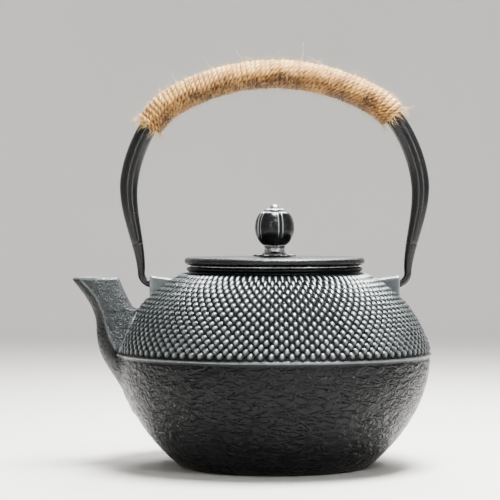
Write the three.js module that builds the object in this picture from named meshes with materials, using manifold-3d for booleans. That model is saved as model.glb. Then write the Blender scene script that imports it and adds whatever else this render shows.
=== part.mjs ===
// A cast iron teapot: a squat pot with a beak spout and two lugs, a lid with a bud knob,
// a strainer basket that hangs in the mouth, and a bail handle with a wound grip.
// Millimetres, +Z up. The origin is the centre of the flat base and the spout points to -X.

import * as THREE from "three";
import { mergeVertices } from "three/addons/utils/BufferGeometryUtils.js";
import Module from "manifold-3d";

const wasm = await Module();
wasm.setup();

// ---- Driving dimensions ----

// Gap left between pieces that touch on the real object.
const touchGap = 0.25;
// Radial play of a pin or rivet in its hole.
const holePlay = 0.35;

// Pot
const potRadius = 86;
const equatorHeight = 61.8;
const shoulderHeight = 105;
const baseRadius = 48;
const baseCorner = 7;
const potWall = 4;
const ridgeHeight = 0.8;
const ridgeWidth = 1.8;
const neckRadius = 47.3;
const neckWall = 3.7;
const neckStep = 4.1;
const neckFillet = 1;
const neckHeight = 4.3;
const mouthRingBead = 1.1;
const mouthRingDepth = 2.2;
const mouthRingEdge = 0.6;

// Spout
const spoutMouthDrop = 1.3;
const spoutMouthLength = 26.2;
const spoutMouthHalfWidth = 9.5;
const spoutBelly = 12;
const spoutHalfWidth = 15;
const spoutRootRise = 24.2;
const spoutRootDrop = 19.8;
const spoutFloorDrop = 4.8;
const spoutWall = 3.2;
const spoutNosePinch = 0.5;

// Lugs
const lugReach = 8.2;
const lugHalfWidth = 9.5;
const lugTopDrop = 0.1;
const lugTopInset = 5.6;
const lugTopSlope = 1.5;
const lugEdge = 0.8;
const lugInset = 5;
const pivotBelowLugTop = 5;
const lugHoleDepth = 7;
const pinEndPlay = 0.7;

// Bail
const hookRadius = 1.95;
const bailTubeRadius = 5;
const bailTubeWall = 1.2;
const hookStandOff = 4.9;
const hookBendRadius = 6;
const bailRise = 115.3;
const bailBow = 6.9;
const bailWidestRise = 52;
const bailCrownRadius = 110;
const bailCrownShare = 0.7125;
const bailTaperPower = 1.3;
const bailJointRise = 22.2;
const tenonLength = 9;
const bailStep = 6.5;

// Grip
const gripLength = 150;
const gripShift = -3.3;
const gripWindingThickness = 3.1;
const gripPlay = 0.45;

// Lid
const lidOverhang = 1.1;
const lidRimThickness = 4;
const lidCrown = 0.5;
const lidEdgeRound = 1.3;
const lidSkirtDepth = 5.5;
const lidSkirtWall = 3;
const ventRadius = 1.5;
const ventOffset = 24;

// Knob
const knobSeatRadius = 12;
const knobSeatEdge = 0.8;
const knobSeatHeight = 2;
const knobSeatPetals = 8;
const knobSeatNotch = 0.2;
const knobCollarRadius = 6;
const knobCollarHeight = 3.5;
const knobCollarWaist = 0.5;
const knobBudRadius = 10.8;
const knobBudHeight = 18.2;
const knobBudLobes = 5;
const knobBudGroove = 0.13;
const knobBudTopRadius = 7.5;
const knobBudBottomRadius = 6.6;
const knobFlowerRadius = 6.2;
const knobFlowerThickness = 1.6;
const knobFlowerPetals = 5;
const knobFlowerNotch = 0.25;
const rivetRadius = 2;
const rivetHeadRadius = 2.6;
const rivetHeadHeight = 2;
const rivetTailRadius = 3.8;
const rivetTailHeight = 1.6;
const rivetWasherRadius = 6.5;
const rivetWasherThickness = 1;

// Strainer basket
const basketPlay = 0.7;
const basketSheet = 0.8;
const basketFlange = 3.6;
const basketDepth = 58;
const basketCollarDepth = 9;
const basketBaseHeight = 5;
const basketTaper = 3;

// ---- Fineness of the faceted solids ----

const potSegments = 48;
const lidSegments = 40;
const basketSegments = 36;
const smallSegments = 20;
const tubeSides = 12;
const spoutSegments = 24;

// ---- Materials ----

const iron = new THREE.MeshStandardMaterial({ color: 0x26292b, roughness: 0.6, metalness: 0.6 });
const blackPaint = new THREE.MeshStandardMaterial({ color: 0x16181a, roughness: 0.35, metalness: 0.4 });
const twine = new THREE.MeshStandardMaterial({ color: 0xc9a468, roughness: 0.95, metalness: 0 });
const knobMetal = new THREE.MeshStandardMaterial({ color: 0x3a3d3f, roughness: 0.45, metalness: 0.8 });
const steel = new THREE.MeshStandardMaterial({ color: 0xb4b7ba, roughness: 0.3, metalness: 1 });

// ---- Geometry helpers ----

const point = (x, y) => new THREE.Vector2(x, y);

/** A solid of revolution about +Z from a profile of (radius, height) points. */
function turned(profile, segments) {
  const geometry = new THREE.LatheGeometry(profile, segments);
  geometry.rotateX(Math.PI / 2);
  return geometry;
}

/** The same closed profile with its first point again at its end. */
function ring(profile) {
  return [...profile, profile[0].clone()];
}

/** Moves every vertex of a geometry by a function of its place. */
function shaped(geometry, move) {
  const places = geometry.getAttribute("position");
  const place = new THREE.Vector3();
  for (let i = 0; i < places.count; i++) {
    place.fromBufferAttribute(places, i);
    move(place);
    places.setXYZ(i, place.x, place.y, place.z);
  }
  return geometry;
}

/** A geometry as a manifold solid, with its shared vertices merged. */
function solid(geometry) {
  const bare = geometry.clone();
  bare.deleteAttribute("normal");
  bare.deleteAttribute("uv");
  const merged = mergeVertices(bare, 1e-4);
  const corners = merged.index.array;
  const kept = [];
  for (let i = 0; i < corners.length; i += 3) {
    const [a, b, c] = [corners[i], corners[i + 1], corners[i + 2]];
    if (a !== b && b !== c && c !== a) kept.push(a, b, c);
  }
  return new wasm.Manifold(
    new wasm.Mesh({
      numProp: 3,
      vertProperties: merged.attributes.position.array,
      triVerts: new Uint32Array(kept),
    }),
  );
}

/** A manifold solid as a geometry to draw. */
function drawn(body) {
  const mesh = body.getMesh();
  const geometry = new THREE.BufferGeometry();
  geometry.setAttribute("position", new THREE.BufferAttribute(mesh.vertProperties, 3));
  geometry.setIndex(new THREE.BufferAttribute(mesh.triVerts, 1));
  geometry.computeVertexNormals();
  return geometry;
}

/** A cylinder along X from x0 to x1, at height z. */
function rodAlongX(radius, x0, x1, z) {
  const geometry = new THREE.CylinderGeometry(radius, radius, Math.abs(x1 - x0), smallSegments);
  geometry.rotateZ(-Math.PI / 2);
  geometry.translate((x0 + x1) / 2, 0, z);
  return geometry;
}

/** The point where a curve of (radius, height) points reaches a height. Height rises along the curve. */
function atHeight(curve, height) {
  let low = 0;
  let high = 1;
  for (let i = 0; i < 40; i++) {
    const middle = (low + high) / 2;
    if (curve.getPoint(middle).y < height) low = middle;
    else high = middle;
  }
  return curve.getPoint((low + high) / 2);
}

/** Points of a curve moved to its inner side by a distance. The curve rises with the solid on its left. */
function insetPoints(curve, count, distance) {
  const points = [];
  for (let i = 0; i <= count; i++) {
    const place = curve.getPoint(i / count);
    const along = curve.getTangent(i / count);
    points.push(point(place.x - along.y * distance, place.y + along.x * distance));
  }
  return points;
}

/** A named piece. */
function piece(name, geometry, material) {
  const mesh = new THREE.Mesh(geometry, material);
  mesh.name = name;
  return mesh;
}

// ---- Pot ----

// The bowl below the parting ridge, from the base corner up to the equator.
const rootRadius = potRadius - ridgeHeight;
const shoulderRadius = neckRadius + neckStep;
const mouthHeight = shoulderHeight + neckHeight;
const mouthRingRadius = neckRadius + mouthRingBead;
const bowlStart = point(baseRadius + baseCorner, baseCorner * 0.43);
const lowerCurve = new THREE.CubicBezierCurve(
  bowlStart,
  point(bowlStart.x + (potRadius - bowlStart.x) * 0.42, bowlStart.y + equatorHeight * 0.18),
  point(rootRadius, equatorHeight * 0.56),
  point(rootRadius, equatorHeight - ridgeWidth / 2),
);

// The shoulder above the ridge, from the equator up to the foot of the neck.
const shoulderRise = shoulderHeight - equatorHeight;
const upperCurve = new THREE.CubicBezierCurve(
  point(rootRadius, equatorHeight + ridgeWidth / 2),
  point(potRadius * 0.945, equatorHeight + shoulderRise * 0.34),
  point(shoulderRadius + (potRadius - shoulderRadius) * 0.59, equatorHeight + shoulderRise * 0.78),
  point(shoulderRadius, shoulderHeight),
);

const potRadiusAt = (z) => atHeight(z < equatorHeight ? lowerCurve : upperCurve, z).x;
const mouthRadius = neckRadius - neckWall;

function potOutside() {
  const ringFoot = mouthHeight - mouthRingDepth;
  return [
    point(0, 0),
    point(baseRadius, 0),
    point(baseRadius + baseCorner * 0.6, baseCorner * 0.13),
    ...lowerCurve.getPoints(6),
    point(potRadius, equatorHeight - ridgeWidth / 4),
    point(potRadius, equatorHeight + ridgeWidth / 4),
    ...upperCurve.getPoints(7),
    point(neckRadius + neckFillet, shoulderHeight + neckFillet * 0.5),
    point(neckRadius, shoulderHeight + neckFillet),
    point(neckRadius, ringFoot),
    point(mouthRingRadius, ringFoot + mouthRingEdge),
    point(mouthRingRadius, mouthHeight - mouthRingEdge),
    point(mouthRingRadius - mouthRingEdge, mouthHeight),
    point(0, mouthHeight),
  ];
}

function potCavity() {
  const bowl = insetPoints(lowerCurve, 5, potWall);
  const shoulder = insetPoints(upperCurve, 5, potWall);
  const neckFoot = Math.max(...shoulder.map((place) => place.y));
  return [
    point(0, potWall),
    point(bowl[0].x - baseCorner, potWall),
    ...bowl,
    ...shoulder,
    point(mouthRadius, neckFoot + 1),
    point(mouthRadius, mouthHeight + 1),
    point(0, mouthHeight + 1),
  ];
}

// The spout is a stack of level slices. Each runs from a pointed front to a round back.
const spoutMouthHeight = shoulderHeight - spoutMouthDrop;
const spoutRootTop = equatorHeight + spoutRootRise;
const spoutRootBottom = equatorHeight - spoutRootDrop;
const spoutFloor = equatorHeight - spoutFloorDrop;
const spoutTipReach = potRadius + spoutMouthLength;
const spoutBellyReach = potRadius + spoutBelly;
const spoutBellyTop = spoutRootTop - 10;
const spoutFrontUpper = new THREE.CubicBezierCurve(
  point(spoutBellyReach, spoutBellyTop),
  point(spoutBellyReach, spoutBellyTop + (spoutMouthHeight - spoutBellyTop) * 0.4),
  point(spoutTipReach - spoutMouthLength * 0.26, spoutMouthHeight - 9.2),
  point(spoutTipReach, spoutMouthHeight),
);
const spoutFrontLower = new THREE.CubicBezierCurve(
  point(potRadiusAt(spoutRootBottom), spoutRootBottom),
  point(potRadius + spoutBelly * 0.33, spoutRootBottom + 10),
  point(spoutBellyReach, spoutRootBottom + 16),
  point(spoutBellyReach, spoutBellyTop),
);
const spoutBackCurve = new THREE.QuadraticBezierCurve(
  point(potRadiusAt(spoutRootTop), spoutRootTop),
  point(potRadiusAt(spoutRootTop) + 4, spoutRootTop + 5.5),
  point(potRadius, spoutMouthHeight),
);
const spoutWidthCurve = new THREE.SplineCurve([
  point(spoutHalfWidth * 0.35, spoutRootBottom),
  point(spoutHalfWidth * 0.93, spoutRootBottom + 18),
  point(spoutHalfWidth, spoutRootTop - 14),
  point(spoutHalfWidth * 0.87, spoutRootTop),
  point(spoutMouthHalfWidth, spoutMouthHeight),
]);

const spoutFrontAt = (z) => atHeight(z < spoutBellyTop ? spoutFrontLower : spoutFrontUpper, z).x;
const spoutBackAt = (z) => (z < spoutRootTop ? potRadiusAt(z) - potWall * 2 : atHeight(spoutBackCurve, z).x);

/** The back of the channel: inside the back wall above the root, and through the pot's wall below it. */
function channelBackAt(z) {
  const inside = potRadiusAt(Math.min(z, spoutRootTop)) - potWall * 2;
  const blend = THREE.MathUtils.clamp((spoutRootTop - z) / 8, 0, 1);
  const above = atHeight(spoutBackCurve, Math.max(z, spoutRootTop)).x + spoutWall;
  return THREE.MathUtils.lerp(above, inside, blend);
}

/** A stack of level slices between two heights, each from a front to a back with a half width. */
function sliced(bottom, top, frontAt, backAt, halfWidthAt) {
  const levels = 12;
  const profile = [point(0, 0)];
  for (let i = 0; i <= levels; i++) profile.push(point(1, i / levels));
  profile.push(point(0, 1));
  return shaped(turned(profile, spoutSegments), (place) => {
    const z = bottom + place.z * (top - bottom);
    const front = frontAt(z);
    const back = backAt(z);
    const middle = (front + back) / 2;
    const frontness = (1 - place.x) / 2;
    const halfWidth = halfWidthAt(z) * (1 - spoutNosePinch * frontness ** 2);
    place.set(-middle + place.x * (front - back) / 2, place.y * halfWidth, z);
  });
}

function spoutOutside() {
  return sliced(
    spoutRootBottom,
    spoutMouthHeight,
    spoutFrontAt,
    spoutBackAt,
    (z) => atHeight(spoutWidthCurve, z).x,
  );
}

function spoutChannel() {
  return sliced(
    spoutFloor,
    spoutMouthHeight + 1,
    (z) => spoutFrontAt(Math.min(z, spoutMouthHeight)) - spoutWall,
    (z) => channelBackAt(Math.min(z, spoutMouthHeight)),
    (z) => atHeight(spoutWidthCurve, Math.min(z, spoutMouthHeight)).x - spoutWall,
  );
}

const lugTop = shoulderHeight - lugTopDrop;
const pivotHeight = lugTop - pivotBelowLugTop;
const lugTopStart = shoulderRadius + lugTopInset;
const lugFace = potRadiusAt(pivotHeight) + lugReach;
const lugFoot = atHeight(upperCurve, equatorHeight + shoulderRise * 0.6);

/** One lug: a wedge on the shoulder with an upright outer face, for the side +1 or -1. */
function lug(side) {
  const outline = new THREE.Shape([
    point(lugTopStart - lugInset, lugTop - lugInset),
    point(lugFoot.x - lugInset * 2, lugFoot.y),
    point(lugFoot.x - lugInset, lugFoot.y),
    point(lugFace, atHeight(upperCurve, pivotHeight).y - lugReach),
    point(lugFace, lugTop - lugEdge),
    point(lugFace - lugEdge, lugTop),
    point(lugTopStart, lugTop - lugTopSlope),
  ]);
  const block = new THREE.ExtrudeGeometry(outline, { depth: lugHalfWidth * 2, bevelEnabled: false });
  block.rotateX(Math.PI / 2);
  block.translate(0, lugHalfWidth, 0);
  if (side < 0) block.rotateZ(Math.PI);
  return block;
}

function potBody() {
  const hole = hookRadius + holePlay;
  let body = solid(turned(potOutside(), potSegments));
  body = body.add(solid(spoutOutside()));
  for (const side of [1, -1]) body = body.add(solid(lug(side)));
  body = body.subtract(solid(turned(potCavity(), potSegments)));
  body = body.subtract(solid(spoutChannel()));
  for (const side of [1, -1]) {
    const bore = rodAlongX(hole, side * (lugFace - lugHoleDepth), side * (lugFace + 1), pivotHeight);
    body = body.subtract(solid(bore));
  }
  return piece("pot_body", drawn(body), iron);
}

// ---- Bail ----

// The half of the bail's centre line on +X, from the crown down to the end of the pin.
const armFoot = lugFace + hookStandOff;
const bailHalfWidth = armFoot + bailBow;
const crownHeight = pivotHeight + bailRise;
const crownAngle = Math.acos((bailHalfWidth * bailCrownShare) / bailCrownRadius);
const crownEnd = point(
  bailCrownRadius * Math.cos(crownAngle),
  crownHeight - bailCrownRadius * (1 - Math.sin(crownAngle)),
);
const widestHeight = pivotHeight + bailWidestRise;
const shoulderPull = (bailHalfWidth - crownEnd.x) * 0.66;
const pinEnd = lugFace - lugHoleDepth + pinEndPlay;

const bailLine = new THREE.Path();
bailLine.absarc(0, crownHeight - bailCrownRadius, bailCrownRadius, Math.PI / 2, crownAngle, true);
bailLine.bezierCurveTo(
  crownEnd.x + shoulderPull * Math.sin(crownAngle),
  crownEnd.y - shoulderPull * Math.cos(crownAngle),
  bailHalfWidth,
  widestHeight + shoulderPull,
  bailHalfWidth,
  widestHeight,
);
bailLine.bezierCurveTo(
  bailHalfWidth,
  widestHeight - bailWidestRise * 0.31,
  armFoot,
  pivotHeight + bailWidestRise * 0.39,
  armFoot,
  pivotHeight + hookBendRadius,
);
bailLine.absarc(
  armFoot - hookBendRadius,
  pivotHeight + hookBendRadius,
  hookBendRadius,
  0,
  -Math.PI / 2,
  true,
);
bailLine.lineTo(pinEnd, pivotHeight);
const bailHalfLength = bailLine.getLength();

/** The distance along the bail's half line at which it comes down to a height. */
function bailReach(height) {
  let low = 0;
  let high = bailHalfLength;
  for (let i = 0; i < 40; i++) {
    const middle = (low + high) / 2;
    if (bailLine.getPointAt(middle / bailHalfLength).y > height) low = middle;
    else high = middle;
  }
  return (low + high) / 2;
}

/** The bail's outer radius at a distance along it: full above its widest place, thin at the hook. */
function bailRadiusAt(distance) {
  const height = bailLine.getPointAt(Math.min(Math.abs(distance) / bailHalfLength, 1)).y;
  const foot = pivotHeight + hookBendRadius;
  const share = THREE.MathUtils.clamp((height - foot) / (widestHeight + 5 - foot), 0, 1);
  return hookRadius + (bailTubeRadius - hookRadius) * (1 - (1 - share) ** bailTaperPower);
}

/** Bends a straight bar that stands on +Z onto the bail's line: its height is the distance from the crown. */
function bentOntoBail(geometry) {
  return shaped(geometry, (place) => {
    const side = place.z < 0 ? -1 : 1;
    const share = Math.min(Math.abs(place.z) / bailHalfLength, 1);
    const centre = bailLine.getPointAt(share);
    const along = bailLine.getTangentAt(share);
    const outward = place.x;
    place.set(side * (centre.x - outward * along.y), -place.y, centre.y + outward * along.x);
  });
}

/** Points (radius, distance) between two distances along the bail, no more than bailStep apart. */
function barPoints(from, to, radiusAt) {
  const steps = Math.ceil(Math.abs(to - from) / bailStep);
  const points = [];
  for (let i = 0; i <= steps; i++) {
    const distance = THREE.MathUtils.lerp(from, to, i / steps);
    points.push(point(radiusAt(distance), distance));
  }
  return points;
}

const tubeEnd = bailReach(pivotHeight + bailJointRise);
const tubeBoreAt = (distance) => bailRadiusAt(distance) - bailTubeWall;

function bailTube() {
  const outside = barPoints(-tubeEnd, tubeEnd, bailRadiusAt);
  const inside = barPoints(tubeEnd, -tubeEnd, tubeBoreAt);
  const bar = turned(ring([...outside, ...inside]), tubeSides);
  return piece("bail_tube", bentOntoBail(bar), blackPaint);
}

/** One hook: a tenon inside the tube's end, the tapered arm, the bend and the pin, for a side. */
function bailHook(name, side) {
  const tenonRadius = tubeBoreAt(tubeEnd) - touchGap;
  const tenonTop = tubeEnd - tenonLength;
  const armTop = tubeEnd + touchGap;
  const bendTop = bailReach(pivotHeight + hookBendRadius);
  const bendFoot = bendTop + (Math.PI / 2) * hookBendRadius;
  const arm = barPoints(armTop, bendTop, bailRadiusAt);
  const bendSteps = 6;
  const bend = [];
  for (let i = 1; i <= bendSteps; i++) {
    bend.push(point(hookRadius, THREE.MathUtils.lerp(bendTop, bendFoot, i / bendSteps)));
  }
  const profile = [
    point(0, tenonTop),
    point(tenonRadius, tenonTop),
    point(tenonRadius, armTop),
    ...arm,
    ...bend,
    point(hookRadius, bailHalfLength),
    point(0, bailHalfLength),
  ];
  const hook = bentOntoBail(turned(profile, tubeSides));
  if (side < 0) hook.rotateZ(Math.PI);
  return piece(name, hook, blackPaint);
}

function gripWrap() {
  const start = gripShift - gripLength / 2;
  const end = gripShift + gripLength / 2;
  const outerAt = (distance) => bailRadiusAt(distance) + gripWindingThickness;
  const innerAt = (distance) => bailRadiusAt(distance) + gripPlay;
  const outside = barPoints(start, end, outerAt);
  const inside = barPoints(end, start, innerAt);
  return piece("grip_wrap", bentOntoBail(turned(ring([...outside, ...inside]), tubeSides)), twine);
}

// ---- Strainer basket ----

const flangeBottom = mouthHeight + touchGap;
const flangeTop = flangeBottom + basketSheet;
const basketRadius = mouthRadius - basketPlay;
const basketInside = basketRadius - basketSheet;
const collarFoot = flangeTop - basketCollarDepth;
const basketFoot = flangeTop - basketDepth;
const meshTopRadius = basketInside - touchGap;
const meshFootRadius = meshTopRadius - basketTaper;
const cupTop = basketFoot + basketBaseHeight;

function basketRim() {
  const profile = [
    point(basketInside, collarFoot),
    point(basketRadius, collarFoot),
    point(basketRadius, flangeBottom),
    point(basketRadius + basketFlange, flangeBottom),
    point(basketRadius + basketFlange, flangeTop),
    point(basketInside, flangeTop),
  ];
  return piece("basket_rim", turned(ring(profile), basketSegments), steel);
}

function basketMesh() {
  const profile = [
    point(meshFootRadius - basketSheet, basketFoot + basketSheet + touchGap),
    point(meshFootRadius, basketFoot + basketSheet + touchGap),
    point(meshFootRadius, cupTop),
    point(meshTopRadius, collarFoot),
    point(meshTopRadius, collarFoot + basketCollarDepth / 3),
    point(meshTopRadius - basketSheet, collarFoot + basketCollarDepth / 3),
    point(meshTopRadius - basketSheet, collarFoot),
    point(meshFootRadius - basketSheet, cupTop),
  ];
  return piece("basket_mesh", turned(ring(profile), basketSegments), steel);
}

function basketCup() {
  const outer = meshFootRadius + touchGap + basketSheet;
  const profile = [
    point(0, basketFoot),
    point(outer - basketSheet, basketFoot),
    point(outer, basketFoot + basketSheet),
    point(outer, cupTop - touchGap),
    point(outer - basketSheet, cupTop - touchGap),
    point(outer - basketSheet, basketFoot + basketSheet),
    point(0, basketFoot + basketSheet),
  ];
  return piece("basket_cup", turned(profile, basketSegments), steel);
}

// ---- Lid ----

const lidBottom = flangeTop + touchGap;
const lidRadius = mouthRingRadius + lidOverhang;
const lidRimTop = lidBottom + lidRimThickness;
const lidTop = lidRimTop + lidCrown;
const skirtRadius = basketInside - basketSheet - touchGap * 2;
const skirtInside = skirtRadius - lidSkirtWall;
const skirtFoot = lidBottom - lidSkirtDepth;
const lidCeiling = lidTop - lidRimThickness;
const rivetHole = rivetRadius + holePlay;

function lidPlate() {
  const profile = [
    point(rivetHole, lidCeiling),
    point(rivetWasherRadius + 1, lidCeiling),
    point(skirtInside, lidBottom),
    point(skirtInside, skirtFoot),
    point(skirtRadius, skirtFoot),
    point(skirtRadius, lidBottom),
    point(lidRadius - lidEdgeRound, lidBottom),
    point(lidRadius, lidBottom + lidEdgeRound),
    point(lidRadius, lidRimTop - lidEdgeRound),
    point(lidRadius - lidEdgeRound, lidRimTop),
    point(lidRadius * 0.6, lidRimTop + lidCrown * 0.7),
    point(rivetHole, lidTop),
  ];
  const plate = solid(turned(ring(profile), lidSegments));
  const vent = new THREE.CylinderGeometry(ventRadius, ventRadius, lidRimThickness * 4, tubeSides);
  vent.rotateX(Math.PI / 2);
  vent.translate(0, ventOffset, lidRimTop);
  return piece("lid_plate", drawn(plate.subtract(solid(vent))), iron);
}

// ---- Knob ----

const seatBottom = lidTop + touchGap;
const collarBottom = seatBottom + knobSeatHeight + touchGap;
const budBottom = collarBottom + knobCollarHeight + touchGap;
const flowerBottom = budBottom + knobBudHeight + touchGap;
const rivetHeadBottom = flowerBottom + knobFlowerThickness + touchGap;
const washerTop = lidCeiling - touchGap;
const rivetTailTop = washerTop - rivetWasherThickness - touchGap;

/** Draws in the edge of a turned washer between its petals, outside an inner radius. */
function petalled(geometry, petals, notch, innerRadius) {
  return shaped(geometry, (place) => {
    const reach = Math.hypot(place.x, place.y);
    if (reach < innerRadius) return;
    const turn = Math.atan2(place.x, -place.y);
    const scale = 1 - notch * (1 - Math.abs(Math.cos((petals * turn) / 2)));
    place.x *= scale;
    place.y *= scale;
  });
}

/** The leafy foot under the knob: it rises from its thin petals to the collar. */
function knobSeat() {
  const top = seatBottom + knobSeatHeight;
  const profile = [
    point(rivetHole, seatBottom),
    point(knobSeatRadius, seatBottom),
    point(knobSeatRadius, seatBottom + knobSeatEdge),
    point((knobSeatRadius + knobCollarRadius) / 2, seatBottom + knobSeatHeight * 0.75),
    point(knobCollarRadius, top),
    point(rivetHole, top),
  ];
  const washer = turned(ring(profile), knobSeatPetals * 6);
  petalled(washer, knobSeatPetals, knobSeatNotch, knobCollarRadius * 1.2);
  return piece("knob_seat", washer, knobMetal);
}

function knobCollar() {
  const top = collarBottom + knobCollarHeight;
  const waist = knobCollarRadius - knobCollarWaist;
  const profile = [
    point(rivetHole, collarBottom),
    point(knobCollarRadius, collarBottom),
    point(waist, collarBottom + knobCollarHeight / 2),
    point(knobCollarRadius, top),
    point(rivetHole, top),
  ];
  return piece("knob_collar", turned(ring(profile), smallSegments), knobMetal);
}

/** The bud: a round ball with a level top, parted into lobes by upright grooves. */
function knobBud() {
  const profile = [point(rivetHole, budBottom)];
  const levels = 9;
  const lowAngle = Math.acos(knobBudBottomRadius / knobBudRadius);
  const highAngle = Math.acos(knobBudTopRadius / knobBudRadius);
  const lowSine = Math.sin(lowAngle);
  const sineSpan = lowSine + Math.sin(highAngle);
  for (let i = 0; i <= levels; i++) {
    const angle = THREE.MathUtils.lerp(-lowAngle, highAngle, i / levels);
    const share = (Math.sin(angle) + lowSine) / sineSpan;
    profile.push(point(knobBudRadius * Math.cos(angle), budBottom + knobBudHeight * share));
  }
  profile.push(point(rivetHole, budBottom + knobBudHeight));
  const ball = turned(ring(profile), knobBudLobes * 6);
  return piece(
    "knob_bud",
    shaped(ball, (place) => {
      const reach = Math.hypot(place.x, place.y);
      if (reach < rivetHole * 1.2) return;
      const turn = Math.atan2(place.y, place.x);
      const groove = (0.5 + 0.5 * Math.cos(knobBudLobes * turn)) ** 4;
      const rise = THREE.MathUtils.clamp((place.z - budBottom) / knobBudHeight, 0, 1);
      const scale = 1 - knobBudGroove * groove * THREE.MathUtils.smoothstep(rise, 0.1, 0.5);
      place.x *= scale;
      place.y *= scale;
    }),
    knobMetal,
  );
}

function knobFlower() {
  const top = flowerBottom + knobFlowerThickness;
  const profile = [
    point(rivetHole, flowerBottom),
    point(knobFlowerRadius, flowerBottom),
    point(knobFlowerRadius, top - knobFlowerThickness * 0.4),
    point(rivetHole, top),
  ];
  const washer = turned(ring(profile), knobFlowerPetals * 6);
  petalled(washer, knobFlowerPetals, knobFlowerNotch, rivetHole * 1.2);
  return piece("knob_flower", washer, knobMetal);
}

/** The rivet that holds the knob on the lid: domed head, long shank and a spread tail under the lid. */
function knobRivet() {
  const tailBottom = rivetTailTop - rivetTailHeight;
  const profile = [
    point(0, tailBottom),
    point(rivetTailRadius * 0.7, tailBottom),
    point(rivetTailRadius, tailBottom + rivetTailHeight / 2),
    point(rivetTailRadius, rivetTailTop),
    point(rivetRadius, rivetTailTop),
    point(rivetRadius, rivetHeadBottom),
    point(rivetHeadRadius, rivetHeadBottom),
    point(rivetHeadRadius * 0.87, rivetHeadBottom + rivetHeadHeight * 0.5),
    point(rivetHeadRadius * 0.5, rivetHeadBottom + rivetHeadHeight * 0.87),
    point(0, rivetHeadBottom + rivetHeadHeight),
  ];
  return piece("knob_rivet", turned(profile, smallSegments), knobMetal);
}

function rivetWasher() {
  const bottom = washerTop - rivetWasherThickness;
  const profile = [
    point(rivetHole, bottom),
    point(rivetWasherRadius, bottom),
    point(rivetWasherRadius, washerTop),
    point(rivetHole, washerTop),
  ];
  return piece("rivet_washer", turned(ring(profile), smallSegments), knobMetal);
}

// ---- The teapot ----

const pot = new THREE.Group();
pot.add(potBody());

const bail = new THREE.Group();
bail.add(bailTube(), bailHook("bail_hook_left", -1), bailHook("bail_hook_right", 1), gripWrap());

const basket = new THREE.Group();
basket.add(basketRim(), basketMesh(), basketCup());

const lid = new THREE.Group();
lid.add(lidPlate(), knobSeat(), knobCollar(), knobBud(), knobFlower(), knobRivet(), rivetWasher());

const teapot = new THREE.Group();
teapot.add(pot, bail, basket, lid);

export default teapot;
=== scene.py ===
# %% [markdown]
# # A cast iron teapot, from frame to finished picture
# The teapot is a round iron pot with hobnails on its shoulder, a short spout, a flat lid with a
# flower bud knob, a steel strainer basket, and an iron bail whose grip is wound with jute twine.
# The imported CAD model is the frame: it gives every piece its place and its joints. Each visible
# surface is then worked out again with numpy, as a function of two parameters on a grid, and put
# into a mesh whole. That was chosen over sculpting because every size can be read and changed.

# %% Load the frame
import bpy
import numpy as np
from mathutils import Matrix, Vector


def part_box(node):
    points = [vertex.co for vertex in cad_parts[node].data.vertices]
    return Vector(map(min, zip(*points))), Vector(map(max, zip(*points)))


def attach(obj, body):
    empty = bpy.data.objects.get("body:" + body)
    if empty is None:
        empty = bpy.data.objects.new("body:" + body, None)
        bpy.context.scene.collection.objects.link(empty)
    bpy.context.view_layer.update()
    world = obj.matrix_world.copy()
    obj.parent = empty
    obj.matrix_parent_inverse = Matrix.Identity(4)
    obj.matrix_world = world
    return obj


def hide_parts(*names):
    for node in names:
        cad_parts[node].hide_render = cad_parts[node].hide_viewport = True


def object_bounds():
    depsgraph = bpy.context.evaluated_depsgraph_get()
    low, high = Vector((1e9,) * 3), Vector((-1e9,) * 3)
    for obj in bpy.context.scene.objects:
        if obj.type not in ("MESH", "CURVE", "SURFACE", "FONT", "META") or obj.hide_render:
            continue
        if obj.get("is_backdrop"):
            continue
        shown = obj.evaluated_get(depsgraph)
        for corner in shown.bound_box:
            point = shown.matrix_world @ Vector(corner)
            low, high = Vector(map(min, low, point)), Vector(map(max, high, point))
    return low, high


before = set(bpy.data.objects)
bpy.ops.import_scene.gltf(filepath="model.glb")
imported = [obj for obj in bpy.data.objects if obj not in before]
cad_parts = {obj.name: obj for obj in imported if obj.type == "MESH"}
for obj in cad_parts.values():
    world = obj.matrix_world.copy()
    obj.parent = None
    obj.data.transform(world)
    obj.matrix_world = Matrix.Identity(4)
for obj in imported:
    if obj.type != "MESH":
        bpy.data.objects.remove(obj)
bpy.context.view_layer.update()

# %% [markdown]
# ## Helpers that every piece uses
# Blender works in metres, but a teapot is easier to think about in millimetres, so the shapes are
# computed in millimetres and scaled once, where the mesh is made. A surface is an array of points
# in rows and columns. Joining each point to its neighbours gives quads, and a row that has shrunk
# to the axis is closed with a fan round one middle point, so that no pole is left open.

# %% Meshes from arrays
MM = 0.001


def grid_quads(rows, columns, first=0):
    """Corner numbers of the quads of a grid: each joins a point, its neighbour in the next column
    and the two above them. The last column joins the first."""
    r, c = np.meshgrid(np.arange(rows - 1), np.arange(columns), indexing="ij")
    n = (c + 1) % columns
    quads = np.stack([r * columns + c, r * columns + n, (r + 1) * columns + n, (r + 1) * columns + c], -1)
    return first + quads.reshape(-1, 4)


def closing_quads(rows, columns):
    """Corner numbers of the quads that join the last row of a grid to its first."""
    last = grid_quads(2, columns)
    return np.where(last < columns, last + (rows - 1) * columns, last - columns)


def fan(ring, middle, upward):
    """Triangles from every edge of a ring of corner numbers to one middle point."""
    after = np.roll(ring, -1)
    ends = (ring, after) if upward else (after, ring)
    return np.stack([*ends, np.full(len(ring), middle)], -1)


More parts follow.
